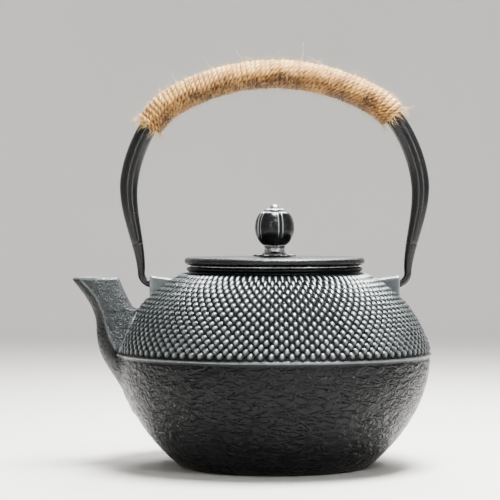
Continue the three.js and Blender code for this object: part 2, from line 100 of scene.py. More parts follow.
def make_mesh(name, points, *face_sets):
    """A smooth mesh from points in millimetres and arrays of corner numbers, three or four a face."""
    mesh = bpy.data.meshes.new(name)
    corners = np.concatenate([f.reshape(-1) for f in face_sets]).astype(np.int32)
    sides = np.concatenate([np.full(len(f), f.shape[1]) for f in face_sets])
    mesh.vertices.add(len(points))
    mesh.vertices.foreach_set("co", (np.asarray(points) * MM).astype(np.float32).ravel())
    mesh.loops.add(len(corners))
    mesh.loops.foreach_set("vertex_index", corners)
    mesh.polygons.add(len(sides))
    mesh.polygons.foreach_set("loop_start", np.concatenate([[0], np.cumsum(sides)[:-1]]).astype(np.int32))
    mesh.polygons.foreach_set("use_smooth", np.ones(len(sides), bool))
    mesh.update(calc_edges=True)
    return mesh


def place_object(name, data):
    """Puts a mesh, a light or a camera in the scene as an object."""
    thing = bpy.data.objects.new(name, data)
    bpy.context.scene.collection.objects.link(thing)
    return thing


def add_piece(name, mesh, body, nodes, material):
    """Puts a mesh in the scene as a piece that rides on a body and stands for CAD nodes."""
    piece = place_object(name, mesh)
    mesh.materials.append(material)
    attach(piece, body)
    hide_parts(*nodes)
    mesh.calc_loop_triangles()
    print(f"{name}: {len(mesh.loop_triangles)} triangles")
    return piece


def set_values(mesh, name, values):
    """Stores one number per point under a name, for the materials to read."""
    layer = mesh.attributes.new(name, "FLOAT", "POINT")
    layer.data.foreach_set("value", np.asarray(values, np.float32).ravel())


def coordinates(mesh, what="co"):
    """The points of a mesh, or their normals, as one array, in the mesh's own metres."""
    values = np.empty(len(mesh.vertices) * 3, np.float32)
    mesh.vertices.foreach_get(what, values)
    return values.reshape(-1, 3)


def node_box(name):
    """Lowest and highest corner of a CAD node in millimetres."""
    low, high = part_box(name)
    return np.array(low) / MM, np.array(high) / MM


# %% Curves and noise
def bezier(*corners, steps=64):
    """Points along a Bezier curve: each corner weighted by its Bernstein term."""
    t = np.linspace(0, 1, steps)[:, None]
    a, b, c, d = [np.asarray(p, float) for p in corners]
    return (1 - t) ** 3 * a + 3 * t * (1 - t) ** 2 * b + 3 * t ** 2 * (1 - t) * c + t ** 3 * d


def even(points, step):
    """The same line with its points a step apart, measured along it."""
    points = np.asarray(points, float)
    run = np.concatenate([[0], np.cumsum(np.linalg.norm(np.diff(points, axis=0), axis=1))])
    count = max(int(round(run[-1] / step)), 1) + 1
    at = np.linspace(0, run[-1], count)
    return np.stack([np.interp(at, run, points[:, k]) for k in range(points.shape[1])], -1)


def ease(t):
    """Zero below 0, one above 1, and 3t^2 - 2t^3 between them."""
    t = np.clip(t, 0, 1)
    return t * t * (3 - 2 * t)


def cloud(points, cell, seed):
    """Smooth chance field from -1 to 1: random values on the corners of a lattice with the given
    cell sides, mixed between the eight corners round each point with eased weights."""
    table = np.random.default_rng(seed).uniform(-1, 1, (32, 32, 32))
    place = np.asarray(points) / np.asarray(cell, float)
    base = np.floor(place).astype(int)
    t = ease(place - base)
    total = np.zeros(place.shape[:-1])
    for corner in np.ndindex(2, 2, 2):
        i, j, k = np.moveaxis((base + corner) % 32, -1, 0)
        weight = np.prod(np.where(np.array(corner, bool), t, 1 - t), axis=-1)
        total += weight * table[i, j, k]
    return total


def turned(profile, columns):
    """A surface of revolution: each (radius, height) of the profile goes round the Z axis."""
    profile = np.asarray(profile, float)
    angle = np.arange(columns) * 2 * np.pi / columns
    r, z = profile[:, :1], profile[:, 1:]
    return np.stack([r * np.cos(angle), r * np.sin(angle), z + 0 * angle], -1)


def turned_mesh(name, profile, columns):
    """A turned solid. Its profile runs from its foot up the outside, so faces point outwards.
    A closed profile makes a ring; one that starts and ends on the axis gets a fan at each pole."""
    profile = np.asarray(profile, float)
    if profile[0, 0] > 1e-6:
        points, rows = turned(profile, columns).reshape(-1, 3), len(profile)
        return make_mesh(name, points, grid_quads(rows, columns), closing_quads(rows, columns))
    body = profile[1:-1]
    points = turned(body, columns).reshape(-1, 3)
    low, high = len(points), len(points) + 1
    points = np.vstack([points, [0, 0, profile[0, 1]], [0, 0, profile[-1, 1]]])
    bottom = fan(np.arange(columns), low, False)
    top = fan(np.arange(columns) + (len(body) - 1) * columns, high, True)
    return make_mesh(name, points, grid_quads(len(body), columns), bottom, top)


def rounded(points, radius, steps=5):
    """The same outline with each inner corner cut back by radius and filled with a curve."""
    points = np.asarray(points, float)
    out = [points[:1]]
    for before, corner, after in zip(points[:-2], points[1:-1], points[2:]):
        a, b = before - corner, after - corner
        cut = min(radius, np.linalg.norm(a) * 0.45, np.linalg.norm(b) * 0.45)
        a, b = a / np.linalg.norm(a) * cut, b / np.linalg.norm(b) * cut
        t = np.linspace(0, 1, steps)[:, None]
        out.append(corner + a * (1 - t) ** 2 + b * t ** 2)
    return np.vstack([*out, points[-1:]])


print("helpers ready")

# %% [markdown]
# ## Finishes
# The iron is cast in sand, oiled and fired: nearly black, with a fine grain that the mould left.
# Its relief could come from an image, but a procedural grain has no seams and any scale. Several
# finishes need the same two effects, so each is a node group made once: grain, which gives a
# height, and wear with painted highlights, which says how much of an edge, tip or crest is painted
# bright, partly as rubbed wear and partly as painted highlight. The groups give out only
# numbers. Each material keeps its own Principled shader.

# %% Grain, and wear with painted highlights: two node groups
def new_group(name, inputs, outputs):
    """An empty shader node group with number inputs and outputs, given as (name, default)."""
    group = bpy.data.node_groups.new(name, "ShaderNodeTree")
    for title, value in inputs:
        socket = group.interface.new_socket(title, in_out="INPUT", socket_type="NodeSocketFloat")
        socket.default_value = value
    for title in outputs:
        group.interface.new_socket(title, in_out="OUTPUT", socket_type="NodeSocketFloat")
    return group, group.nodes.new("NodeGroupInput"), group.nodes.new("NodeGroupOutput")


def math_node(tree, operation, a, b=None, clamp=False):
    """A Math node whose inputs are sockets or plain numbers; gives its output socket."""
    node = tree.nodes.new("ShaderNodeMath")
    node.operation, node.use_clamp = operation, clamp
    for slot_in, value in zip(node.inputs, (a, b)):
        if isinstance(value, (int, float)):
            slot_in.default_value = value
        elif value is not None:
            tree.links.new(value, slot_in)
    return node.outputs[0]


def noise_node(tree, vector, scale, detail=3.0, roughness=0.55, distortion=0.0):
    """A Noise Texture on a vector; gives its Fac socket. A scale may be a socket or a number."""
    node = tree.nodes.new("ShaderNodeTexNoise")
    tree.links.new(vector, node.inputs["Vector"])
    if isinstance(scale, (int, float)):
        node.inputs["Scale"].default_value = scale
    else:
        tree.links.new(scale, node.inputs["Scale"])
    node.inputs["Detail"].default_value = detail
    node.inputs["Roughness"].default_value = roughness
    node.inputs["Distortion"].default_value = distortion
    return node.outputs["Fac"]


def range_node(tree, value, low, high, to_low=0.0, to_high=1.0):
    """A clamped Map Range node; gives its output socket."""
    node = tree.nodes.new("ShaderNodeMapRange")
    tree.links.new(value, node.inputs["Value"])
    for title, number in zip(("From Min", "From Max", "To Min", "To Max"), (low, high, to_low, to_high)):
        node.inputs[title].default_value = number
    return node.outputs["Result"]


grain, g_in, g_out = new_group(
    "casting grain", [("Grains per metre", 900.0), ("Sharpness", 0.5)], ["Height", "Specks"]
)
where = grain.nodes.new("ShaderNodeTexCoord").outputs["Object"]
soft = noise_node(grain, where, g_in.outputs["Grains per metre"], 3.0, 0.6)
cells = grain.nodes.new("ShaderNodeTexVoronoi")
grain.links.new(where, cells.inputs["Vector"])
grain.links.new(g_in.outputs["Grains per metre"], cells.inputs["Scale"])
pits = math_node(grain, "MULTIPLY", cells.outputs["Distance"], g_in.outputs["Sharpness"])
grain.links.new(math_node(grain, "ADD", soft, pits), g_out.inputs["Height"])
grain.links.new(range_node(grain, soft, 0.52, 0.72), g_out.inputs["Specks"])

# Painted highlights: the amount this group gives brightens edges, tips and crests, partly as rubbed wear and
# partly as painted highlight.
wear_and_highlight_group, w_in, w_out = new_group("rubbed edges", [("Where", 0.0), ("Patchiness", 0.4)], ["Amount"])
where = wear_and_highlight_group.nodes.new("ShaderNodeTexCoord").outputs["Object"]
patches = range_node(wear_and_highlight_group, noise_node(wear_and_highlight_group, where, 260.0, 4.0, 0.65), 0.35, 0.65)
less = math_node(wear_and_highlight_group, "MULTIPLY", w_in.outputs["Patchiness"], math_node(wear_and_highlight_group, "SUBTRACT", 1.0, patches))
left = math_node(wear_and_highlight_group, "SUBTRACT", 1.0, less)
wear_and_highlight_group.links.new(math_node(wear_and_highlight_group, "MULTIPLY", w_in.outputs["Where"], left, clamp=True), w_out.inputs["Amount"])
print("node groups:", grain.name, "and", wear_and_highlight_group.name)


# %% [markdown]
# ## Materials
# A material starts as a Principled shader with its steady values set on its own sockets. What
# changes over the surface is then linked in: colour from two tones mixed by noise, roughness from
# the same noise, and a Bump node for relief too fine for the mesh. The pot's own iron also reads
# two stored weights: hide for the bowl's wrinkles, and fine for the leathery grain of the spout.

# %% Material helpers
def new_material(name, **steady):
    """A node material with a Principled shader; steady values go straight onto its sockets."""
    material = bpy.data.materials.new(name)
    material.use_nodes = True
    tree = material.node_tree
    shader = tree.nodes["Principled BSDF"]
    for title, value in steady.items():
        shader.inputs[title.replace("_", " ")].default_value = value
    return material, tree, shader


def use_group(tree, group, **values):
    """Places a node group in a material with its own numbers or linked sockets."""
    node = tree.nodes.new("ShaderNodeGroup")
    node.node_tree = group
    for title, value in values.items():
        socket = node.inputs[title.replace("_", " ")]
        if isinstance(value, (int, float)):
            socket.default_value = value
        else:
            tree.links.new(value, socket)
    return node


def mix_colour(tree, amount, dark, light):
    """A Mix node for two colours; each is a socket or red, green and blue."""
    node = tree.nodes.new("ShaderNodeMix")
    node.data_type = "RGBA"
    tree.links.new(amount, node.inputs["Factor"])
    sockets = [s for s in node.inputs if s.type == "RGBA"]
    for socket, colour in zip(sockets, (dark, light)):
        if isinstance(colour, tuple):
            socket.default_value = (*colour, 1.0)
        else:
            tree.links.new(colour, socket)
    return [s for s in node.outputs if s.type == "RGBA"][0]


def add_bump(tree, shader, height, distance):
    """Links a height to the shader's normal through a Bump node; distance is in metres."""
    bump = tree.nodes.new("ShaderNodeBump")
    bump.inputs["Strength"].default_value = 1.0
    bump.inputs["Distance"].default_value = distance
    tree.links.new(height, bump.inputs["Height"])
    tree.links.new(bump.outputs["Normal"], shader.inputs["Normal"])


def attribute(tree, name):
    """The number stored under a name on each point of the mesh."""
    node = tree.nodes.new("ShaderNodeAttribute")
    node.attribute_name = name
    return node.outputs["Fac"]


def object_place(tree):
    """Where the shaded point lies in the piece's own coordinates, in metres."""
    return tree.nodes.new("ShaderNodeTexCoord").outputs["Object"]


def iron(name, dark, light, worn_and_highlit, grains, depth, smoothest, roughest, skin=False):
    """Fired cast iron: two dark tones mixed by grain, brighter and smoother where the stored mask marks
    rubbed wear and painted highlights. With skin, the stored masks hide and fine add the bowl's
    wrinkles and the spout's leather."""
    material, tree, shader = new_material(name, Metallic=0.25 if skin else 0.5, IOR=1.5 if skin else 1.6)
    shader.inputs["Specular IOR Level"].default_value = 0.3 if skin else 0.5
    relief = use_group(tree, grain, Grains_per_metre=grains, Sharpness=0.6)
    wear_and_highlight = use_group(tree, wear_and_highlight_group, Where=attribute(tree, "wear_and_highlight"), Patchiness=0.35).outputs["Amount"]
    base = mix_colour(tree, relief.outputs["Specks"], dark, light)
    tree.links.new(mix_colour(tree, wear_and_highlight, base, worn_and_highlit), shader.inputs["Base Color"])
    blotches = noise_node(tree, object_place(tree), 45.0, 3.0)
    rough = range_node(tree, blotches, 0.3, 0.7, smoothest, roughest)
    eased = math_node(tree, "SUBTRACT", rough, math_node(tree, "MULTIPLY", wear_and_highlight, 0.12))
    tree.links.new(eased, shader.inputs["Roughness"])
    height = relief.outputs["Height"]
    if skin:
        flat = tree.nodes.new("ShaderNodeMapping")
        flat.inputs["Scale"].default_value = (1.0, 1.0, 2.1)
        tree.links.new(object_place(tree), flat.inputs["Vector"])
        folds = noise_node(tree, flat.outputs["Vector"], 150.0, 2.0, 0.45, 0.6)
        crease = math_node(tree, "ABSOLUTE", math_node(tree, "SUBTRACT", folds, 0.5))
        worms = math_node(
            tree, "MULTIPLY", range_node(tree, crease, 0.0, 0.12, 1.0, 0.0), attribute(tree, "hide"))
        pores = noise_node(tree, object_place(tree), 850.0, 2.0, 0.6, 0.3)
        leather = math_node(tree, "MULTIPLY", range_node(tree, pores, 0.4, 0.62), attribute(tree, "fine"))
        height = math_node(tree, "MULTIPLY", height, 0.16)
        height = math_node(tree, "ADD", height, math_node(tree, "MULTIPLY", worms, 0.5))
        height = math_node(tree, "ADD", height, math_node(tree, "MULTIPLY", leather, 0.7))
    add_bump(tree, shader, height, depth)
    return material


# %% Iron finishes
# The third colour of each finish is the bright tone of rubbed wear and painted highlights. The pot's own iron
# is set darker than the hobnails' and lugs' iron of the same casting: painted shade for the dark lower bowl.
pot_iron = iron(
    "pot iron", (0.005, 0.0058, 0.0062), (0.010, 0.0115, 0.012),
    (0.3, 0.33, 0.34), 1100.0, 0.0010, 0.24, 0.31, skin=True)
nail_iron = iron(
    "hobnail iron", (0.007, 0.0085, 0.009), (0.018, 0.021, 0.022),
    (0.4, 0.445, 0.455), 1400.0, 0.00006, 0.24, 0.34)
lid_iron = iron(
    "lid iron", (0.008, 0.009, 0.0095), (0.022, 0.024, 0.026),
    (0.13, 0.14, 0.145), 1300.0, 0.00020, 0.22, 0.34)
knob_iron = iron(
    "knob metal", (0.013, 0.014, 0.0155), (0.03, 0.032, 0.035),
    (0.5, 0.51, 0.52), 1100.0, 0.00005, 0.16, 0.28)
print("iron finishes:", pot_iron.name, nail_iron.name, lid_iron.name, knob_iron.name)

# %% [markdown]
# ## The pot
# The pot, its spout and its lugs are one casting. A turned bowl with a spout pushed into it would
# show a hard line where they cross, and its hollow would stay blocked. Instead the bowl is a grid
# of rows and columns with a window left out round the spout's root. A second grid, with one column
# for each point of that window's rim, climbs from the rim up the spout, turns over the lip, and
# goes down inside to the same window in the inner wall. Both grids share the rims, so the whole
# casting is one closed skin. Its points are pulled onto a smooth union of bowl and spout.

# %% The bowl's outline
mouth_top = node_box("pot_body")[1][2]
LIP = 1.4
lower_line = even(bezier((55, 3.01), (68.02, 14.13), (85.2, 34.6), (85.2, 60.9)), 1.1)
ridge_line = np.array([(85.55, 61.15), (85.95, 61.4), (86.05, 61.8), (85.95, 62.2), (85.55, 62.45)])
upper_line = even(bezier((85.2, 62.7), (81.27, 76.49), (71.81, 95.5), (51.4, 105)), 1.95)
foot_line = np.array(
    [(r, 0) for r in (8, 16, 24, 32, 39, 44, 47, 48.4)] + [(50.6, 0.2), (52.4, 0.9), (53.8, 1.9)])
neck_line = np.array([
    (50.2, 105.25), (49.1, 105.5), (48.2, 105.8), (47.6, 106.1), (47.3, 106.5), (47.3, 107.0),
    (47.6, 107.35), (48.1, 107.65), (48.38, 108.0), (48.42, 108.4), (48.3, 108.8), (48.0, 109.1),
    (47.6, 109.28), (46.2, mouth_top), (44.5, mouth_top), (43.9, 109.15), (43.6, 108.8),
])
bowl = np.vstack([lower_line, ridge_line, upper_line])
outside = np.vstack([foot_line, bowl, neck_line])

# %% The inner wall and the window
# The ridge, where the bowl is widest and the spout and the window in the wall are aimed.
WALL, RIDGE_HEIGHT, FLOOR_TOP = 4.0, 61.8, 4.2
smooth_bowl = np.vstack([lower_line, np.column_stack([np.full(5, 85.2), ridge_line[:, 1]]), upper_line])
along = np.gradient(smooth_bowl, axis=0)
away = np.column_stack([along[:, 1], -along[:, 0]]) / np.linalg.norm(along, axis=1)[:, None]
inner_bowl = smooth_bowl - WALL * away
floor_line = np.array([(r, FLOOR_TOP) for r in (8, 16, 24, 32, 39, 44, 47)] + [(49.5, 4.6), (51.3, 5.3)])
bore_line = np.array([(47.6, 102.4), (45.6, 103.2), (44.3, 103.9), (43.7, 104.7), (43.6, 106.5)])
inside = np.vstack([floor_line, inner_bowl, bore_line])

COLUMNS = 344
theta = (np.arange(COLUMNS) - COLUMNS // 2) * 2 * np.pi / COLUMNS
window_columns = 18
left, right = COLUMNS // 2 - window_columns, COLUMNS // 2 + window_columns
low_row = int(np.argmin(abs(lower_line[:, 1] - 27)))
high_row = len(lower_line) + len(ridge_line) + int(np.argmin(abs(upper_line[:, 1] - 94)))
print("bowl rows", len(outside), "inner rows", len(inside), "window rows", high_row - low_row)


def place_on(r, z, angle):
    """A point of the pot at a radius, height and angle from the spout, which points along -X."""
    return np.stack([-r * np.cos(angle), -r * np.sin(angle), z + 0 * angle], -1)


# %% [markdown]
# ## The spout as a distance
# Level slices of the spout are ovals, pinched towards the nose. For any point, the slice at its
# height says how far out it is: below zero inside the spout and above zero outside. The bowl
# gives such a distance too, and a rounded minimum of the two makes the fillet that molten iron
# leaves.

# %% Slices of the spout
front_line = np.vstack([
    [(74.0, 30.0), (80.07, 42.0)],
    bezier((80.07, 42), (89.96, 52), (98, 58), (98, 76), steps=40)[1:],
    bezier((98, 76), (98, 87.08), (105.39, 94.5), (112.2, 103.7), steps=40)[1:],
])
width_line = np.array([
    (4.0, 30), (5.25, 42), (10.1, 51), (13.95, 60), (14.9, 66),
    (15, 72), (14.3, 79), (13.05, 86), (11.2, 95), (9.5, 103.7)])
t = np.linspace(0, 1, 20)[:, None]
back_corners = np.array([(77.3, 86), (81.3, 91.5), (86, 103.7)])
back_top = (1 - t) ** 2 * back_corners[0] + 2 * t * (1 - t) * back_corners[1] + t * t * back_corners[2]


def bowl_radius(z, line=bowl):
    """The bowl's outer radius at a height."""
    return np.interp(z, line[:, 1], line[:, 0])


def slice_of(z, wall=0.0):
    """Middle, half depth and half width of the spout's slice at a height, a wall inside it."""
    z = np.clip(z, 28, mouth_top - 5.6)
    front = np.interp(z, front_line[:, 1], front_line[:, 0]) - wall
    sink = ease((86 - z) / 9)
    back = np.where(z > 86, np.interp(z, back_top[:, 1], back_top[:, 0]), bowl_radius(z)) + wall
    back = back - sink * (8 + wall * 2)
    depth = np.maximum((front - back) / 2, 0.8)
    width = np.maximum(np.interp(z, width_line[:, 1], width_line[:, 0]) - wall, 1.2)
    return (front + back) / 2, depth, width


def spout_point(turn, z, wall=0.0):
    """A point of the spout's surface: turn 0 is its back, half a turn is its nose."""
    middle, depth, width = slice_of(z, wall)
    u, v = np.cos(turn), np.sin(turn)
    pinch = 1 - 0.5 * ((1 - u) / 2) ** 2
    return np.stack([-middle + u * depth, -v * width * pinch, z], -1)


def spout_turn(p, wall=0.0):
    """The turn at which the slice through a point passes nearest to it, and how far out it lies:
    its distance from the slice's middle, less the same shrunk until it meets the oval."""
    middle, depth, width = slice_of(p[..., 2], wall)
    u = (p[..., 0] + middle) / depth
    pinch = 1 - 0.5 * np.clip((1 - u) / 2, 0, 1) ** 2
    v = -p[..., 1] / (width * pinch)
    size = np.maximum(np.hypot(u, v), 1e-3)
    return np.arctan2(v, u), np.hypot(p[..., 0] + middle, p[..., 1]) * (1 - 1 / size)


def slope(field, p, step):
    """The gradient of a field at points, by small steps both ways along each axis."""
    parts = []
    for axis in range(3):
        d = np.zeros(3)
        d[axis] = step
        parts.append((field(p + d) - field(p - d)) / (2 * step))
    return np.stack(parts, -1)


def bowl_distance(p, line=bowl):
    """The distance from the bowl: how far the radius is out, times the cosine of its slope."""
    z = p[..., 2]
    lean = (bowl_radius(z + 0.4, line) - bowl_radius(z - 0.4, line)) / 0.8
    return (np.hypot(p[..., 0], p[..., 1]) - bowl_radius(z, line)) / np.sqrt(1 + lean ** 2)


def joined(p, line=bowl, wall=0.0):
    """Smooth union: the lower of the two distances, less a fillet where they are nearly equal."""
    a, b = bowl_distance(p, line), spout_turn(p, wall)[1]
    reach = 2.2 + 7.5 * ease((68 - p[..., 2]) / 16)
    near = np.maximum(reach - abs(a - b), 0) / reach
    return np.minimum(a, b) - near ** 2 * reach / 4


def pulled(p, line=bowl, wall=0.0, steps=6):
    """Moves points onto the smooth union: each step goes back along its slope by its value."""
    def field(q):
        return joined(q, line, wall)
    for _ in range(steps):
        g = slope(field, p, 0.05)
        size = np.maximum((g ** 2).sum(-1), 0.05)
        move = (field(p) / size)[..., None] * g
        p = p - np.clip(move, -3, 3)
    return p


# %% The window's rim and the spout's rows
rim_cells = (
    [(high_row, c) for c in range(COLUMNS // 2, right)]
    + [(r, right) for r in range(high_row, low_row, -1)]
    + [(low_row, c) for c in range(right, left, -1)]
    + [(r, left) for r in range(low_row, high_row)]
    + [(high_row, c) for c in range(left, COLUMNS // 2)]
)
rim_rows, rim_columns = np.array(rim_cells).T
around = len(rim_cells)


def crossing(line, wall):
    """Where the straight way over the bowl from the spout's middle to each rim point leaves the
    spout: halved again and again between a share inside it and a share outside it."""
    angle, height = theta[rim_columns], line[rim_rows, 1]
    low, high = np.zeros(around), np.ones(around)
    for _ in range(40):
        t = (low + high) / 2
        z = RIDGE_HEIGHT + t * (height - RIDGE_HEIGHT)
        out = spout_turn(place_on(bowl_radius(z, line), z, t * angle), wall)[1]
        low, high = np.where(out < 0, t, low), np.where(out < 0, high, t)
    return (low + high) / 2, angle, height


def climb(line, wall, collar, rows, top):
    """Rows from the rim over the bowl to the spout's root, then up the spout to its mouth."""
    share, angle, height = crossing(line, wall)
    steps = np.linspace(0, 1, collar + 1)[1:, None]
    t = 1 + steps ** 0.85 * (share - 1)
    z = RIDGE_HEIGHT + t * (height - RIDGE_HEIGHT)
    apron = place_on(bowl_radius(z, line), z, t * angle)
    root = apron[-1]
    turn = np.unwrap(spout_turn(root, wall)[0])
    goal = 2 * np.pi * np.arange(around) / around
    steps = np.linspace(0, 1, rows + 1)[1:, None]
    turns = turn + (goal - turn) * ease(steps)
    heights = root[:, 2] + (top - root[:, 2]) * steps
    tube = spout_point(turns, heights, wall)
    return np.concatenate([pulled(apron, line, wall), pulled(tube, line, wall)])


spout_top = front_line[-1, 1]
outer_rows = climb(bowl, 0.0, 12, 36, spout_top - LIP)
inner_rows = climb(inner_bowl, 3.2, 9, 26, spout_top - LIP)[::-1]
turn = np.linspace(0, np.pi, 9)[1:-1, None, None]
rim_out, rim_in = outer_rows[-1], inner_rows[0]
lip_rows = (
    (rim_out + rim_in) / 2 + np.cos(turn) * (rim_out - rim_in) / 2 + np.sin(turn) * np.array([0, 0, LIP]))
print("spout:", around, "columns,", len(outer_rows) + len(lip_rows) + len(inner_rows), "rows")

# %% [markdown]
# ## One skin from two grids
# The outer and inner grids keep their own rows, and the spout's rows go in between their windows.
# Below its parting ridge the real pot is wrinkled like leather, and the spout has a finer hide.
# The larger wrinkles are made in the mesh, so that they catch the light at the silhouette: each
# point moves along its normal by a creased noise, weighted by where that texture belongs. The same
# weights are stored on the mesh, and the material adds the finer ones. The spout's back stands a
# little proud of its front along the line where the two halves of the mould met.

# %% Stitch the skin
outer_grid = place_on(outside[:, :1], outside[:, 1:], theta[None, :]).reshape(-1, 3)
inner_grid = place_on(inside[:, :1], inside[:, 1:], theta[None, :]).reshape(-1, 3)
inner_first = len(outer_grid)
skin_first = inner_first + len(inner_grid)
between = np.concatenate([outer_rows, lip_rows, inner_rows]).reshape(-1, 3)
points = np.vstack([outer_grid, inner_grid, between, [[0, 0, 0], [0, 0, FLOOR_TOP]]])


def windowed(rows, first, shift, flip):
    """A bowl grid's quads without the window's, turned over for the inner wall."""
    quads = grid_quads(rows, COLUMNS, first)
    cell = np.arange(len(quads))
    row, column = cell // COLUMNS - shift, cell % COLUMNS
    hole = (row >= low_row) & (row < high_row) & (column >= left) & (column < right)
    quads = quads[~hole]
    return quads[:, ::-1] if flip else quads


shift_out, shift_in = len(foot_line), len(floor_line)
outer_quads = windowed(len(outside), 0, shift_out, False)
inner_quads = windowed(len(inside), inner_first, shift_in, True)
outer_rim = (rim_rows + shift_out) * COLUMNS + rim_columns
inner_rim = inner_first + (rim_rows + shift_in) * COLUMNS + rim_columns
skin_rows = np.vstack([outer_rim, skin_first + np.arange(len(between)).reshape(-1, around), inner_rim])
here, up = skin_rows[:-1], skin_rows[1:]
skin_quads = np.stack([here, up, np.roll(up, -1, 1), np.roll(here, -1, 1)], -1).reshape(-1, 4)
top_out = (len(outside) - 1) * COLUMNS + np.arange(COLUMNS)
top_in = inner_first + (len(inside) - 1) * COLUMNS + np.arange(COLUMNS)
brim = np.stack([top_out, np.roll(top_out, -1), np.roll(top_in, -1), top_in], -1)
under = fan(np.arange(COLUMNS), len(points) - 2, False)
bottom = fan(inner_first + np.arange(COLUMNS), len(points) - 1, True)
used = np.zeros(len(points), bool)
faces = [outer_quads, inner_quads, skin_quads, brim, under, bottom]
for face_set in faces:
    used[face_set.ravel()] = True
renumber = np.cumsum(used) - 1
pot_mesh = make_mesh("pot", points[used], *[renumber[f] for f in faces])

# %% Wrinkle the bowl and the spout
spot = points[used]
normals = coordinates(pot_mesh, "normal")
height, radius = spot[:, 2], np.hypot(spot[:, 0], spot[:, 1])
OUTER, INNER, LIP_FACE = 0, 1, 2
kinds = np.array([OUTER, INNER, OUTER, LIP_FACE, INNER, OUTER, INNER])
counts = [
    len(outer_grid), len(inner_grid),
    *(len(rows) * around for rows in (outer_rows, lip_rows, inner_rows)), 1, 1]
kind = np.repeat(kinds, counts)[used]
out_from_spout = spout_turn(spot)[1]
on_spout = (kind == OUTER) * ease(1 - (out_from_spout - 0.4) / 1.4) * (bowl_distance(spot) > 0.3)
hide = (kind == OUTER) * ease((60.6 - height) / 2.5) * ease((height - 0.6) / 4) * (1 - on_spout)
fold = cloud(spot, (4.6, 4.6, 2.0), 11) + 0.6 * cloud(spot, (2.6, 2.6, 1.3), 12)
creases = 1 - np.minimum(abs(fold) * 2.2, 1)
finer = cloud(spot, (1.6, 1.6, 0.9), 13)
bead = np.exp(-((height - RIDGE_HEIGHT) / 0.8) ** 2) * (kind == OUTER) * (abs(radius - 85.8) < 1.5)
lift = hide * (0.14 * fold + 0.15 * creases ** 2 + 0.05 * finer)
lift += on_spout * 0.05 * cloud(spot, (1.5, 1.5, 1.2), 14)
# The mould's parting line on the spout's side: distance in front of the pot's axis, and height.
parting = np.array([
    (86.5, 63.9), (88.0, 67.4), (90.0, 70.9), (92.0, 77.8), (94.0, 85.3),
    (96.0, 90.3), (98.0, 93.4), (101.5, 97.4), (106.7, 102.9)])
past_parting = (
    -spot[:, 0] - np.interp(height, parting[:, 1], parting[:, 0]) + 0.35 * cloud(spot, (9, 9, 4), 17))
raised = on_spout * ease((height - 63) / 3) * (abs(spot[:, 1]) > 2)
behind_parting = ease(0.5 - past_parting / 1.6)
lift += raised * (0.32 * behind_parting + 0.3 * np.exp(-((past_parting + 0.2) / 0.8) ** 2))
seam = (
    (kind == OUTER) * ease((height - 62.6) / 1.2)
    * ease((2.4 - bowl_distance(spot)) / 0.9) * ease((2.9 - out_from_spout) / 0.6))
lift += 0.3 * seam * ease((out_from_spout - 0.2) / 0.8)
lift += bead * (0.16 * cloud(spot, (5, 5, 50), 15) + 0.1 * cloud(spot, (1.7, 1.7, 50), 16))
spot = spot + normals * lift[:, None]
pot_mesh.vertices.foreach_set("co", (spot * MM).astype(np.float32).ravel())
pot_mesh.update()
# Painted highlights, mixed in through the wear mask: a bright line along the spout's parting crease, and the
# spout's back face painted lighter as lit from above. The ridge bead and the spout's lip are brightened
# partly as rubbed wear and partly as painted highlight, and the seam band between spout and hobnails is
# painted lighter.
crease_highlight = raised * np.exp(-((past_parting + 0.2) / 0.9) ** 2)
wear_and_highlight = bead ** 3 * 0.6 + (kind == LIP_FACE) * 0.5 + 0.35 * crease_highlight
wear_and_highlight = wear_and_highlight + 0.7 * seam * ease((out_from_spout - 0.3) / 0.8) + 0.2 * raised * behind_parting
set_values(pot_mesh, "wear_and_highlight", np.clip(wear_and_highlight, 0, 1))
set_values(pot_mesh, "hide", hide)
set_values(pot_mesh, "fine", on_spout * (0.35 + 0.65 * ease(0.5 - past_parting / 2.5)))
add_piece("pot", pot_mesh, "pot", ["pot_body"], pot_iron)

# %% [markdown]
# ## The hobnails
# Eighteen rings of small bumps cover the shoulder, each ring turned half a step from the next. In
# the foundry they are pressed into the sand one at a time, so no two are quite alike. A height map
# on the bowl could show them, but at this size they shape the outline too. So each is a small dome
# of four rings and a tip, set on the bowl by its own frame: round it, up it and out of it. All the
# domes are one array, made at once from the places of the rings.

# %% Places of the hobnails
chance = np.random.default_rng(5)
RINGS, IN_RING, SIDES = 18, 98, 12
ring_height = np.linspace(65.2, 104.1, RINGS)
number = np.arange(IN_RING)
spin = 2 * np.pi * (number[None, :] + 0.5 * (np.arange(RINGS)[:, None] % 2)) / IN_RING
spin = (spin + chance.normal(0, 0.0016, spin.shape)).ravel()
level = np.repeat(ring_height, IN_RING) + chance.normal(0, 0.06, RINGS * IN_RING)
run = np.concatenate([[0], np.cumsum(np.linalg.norm(np.diff(upper_line, axis=0), axis=1))])
run_at = np.interp(level, upper_line[:, 1], run)
ring_run = np.interp(ring_height, upper_line[:, 1], run)
ring_gap = np.repeat(np.gradient(ring_run), IN_RING)
radius_at = np.interp(run_at, run, upper_line[:, 0])
step_in = np.gradient(upper_line[:, 0], run)
step_up = np.gradient(upper_line[:, 1], run)
lean_in, lean_up = np.interp(run_at, run, step_in), np.interp(run_at, run, step_up)
seat = place_on(radius_at, level, spin)
radial = place_on(np.ones_like(spin), np.zeros_like(spin), spin)
sideways = np.stack([np.sin(spin), -np.cos(spin), 0 * spin], -1)
upward = lean_in[:, None] * radial + np.array([0, 0, 1]) * lean_up[:, None]
upward /= np.linalg.norm(upward, axis=1)[:, None]
outward = np.cross(sideways, upward)
clear_of_spout = spout_turn(seat + outward * 0.5)[1] > 3.4
beside_lug = (abs(seat[:, 1]) < 10.4) & (level > 90.5)
keep = clear_of_spout & ~beside_lug
print("hobnails:", int(keep.sum()), "of", len(keep))

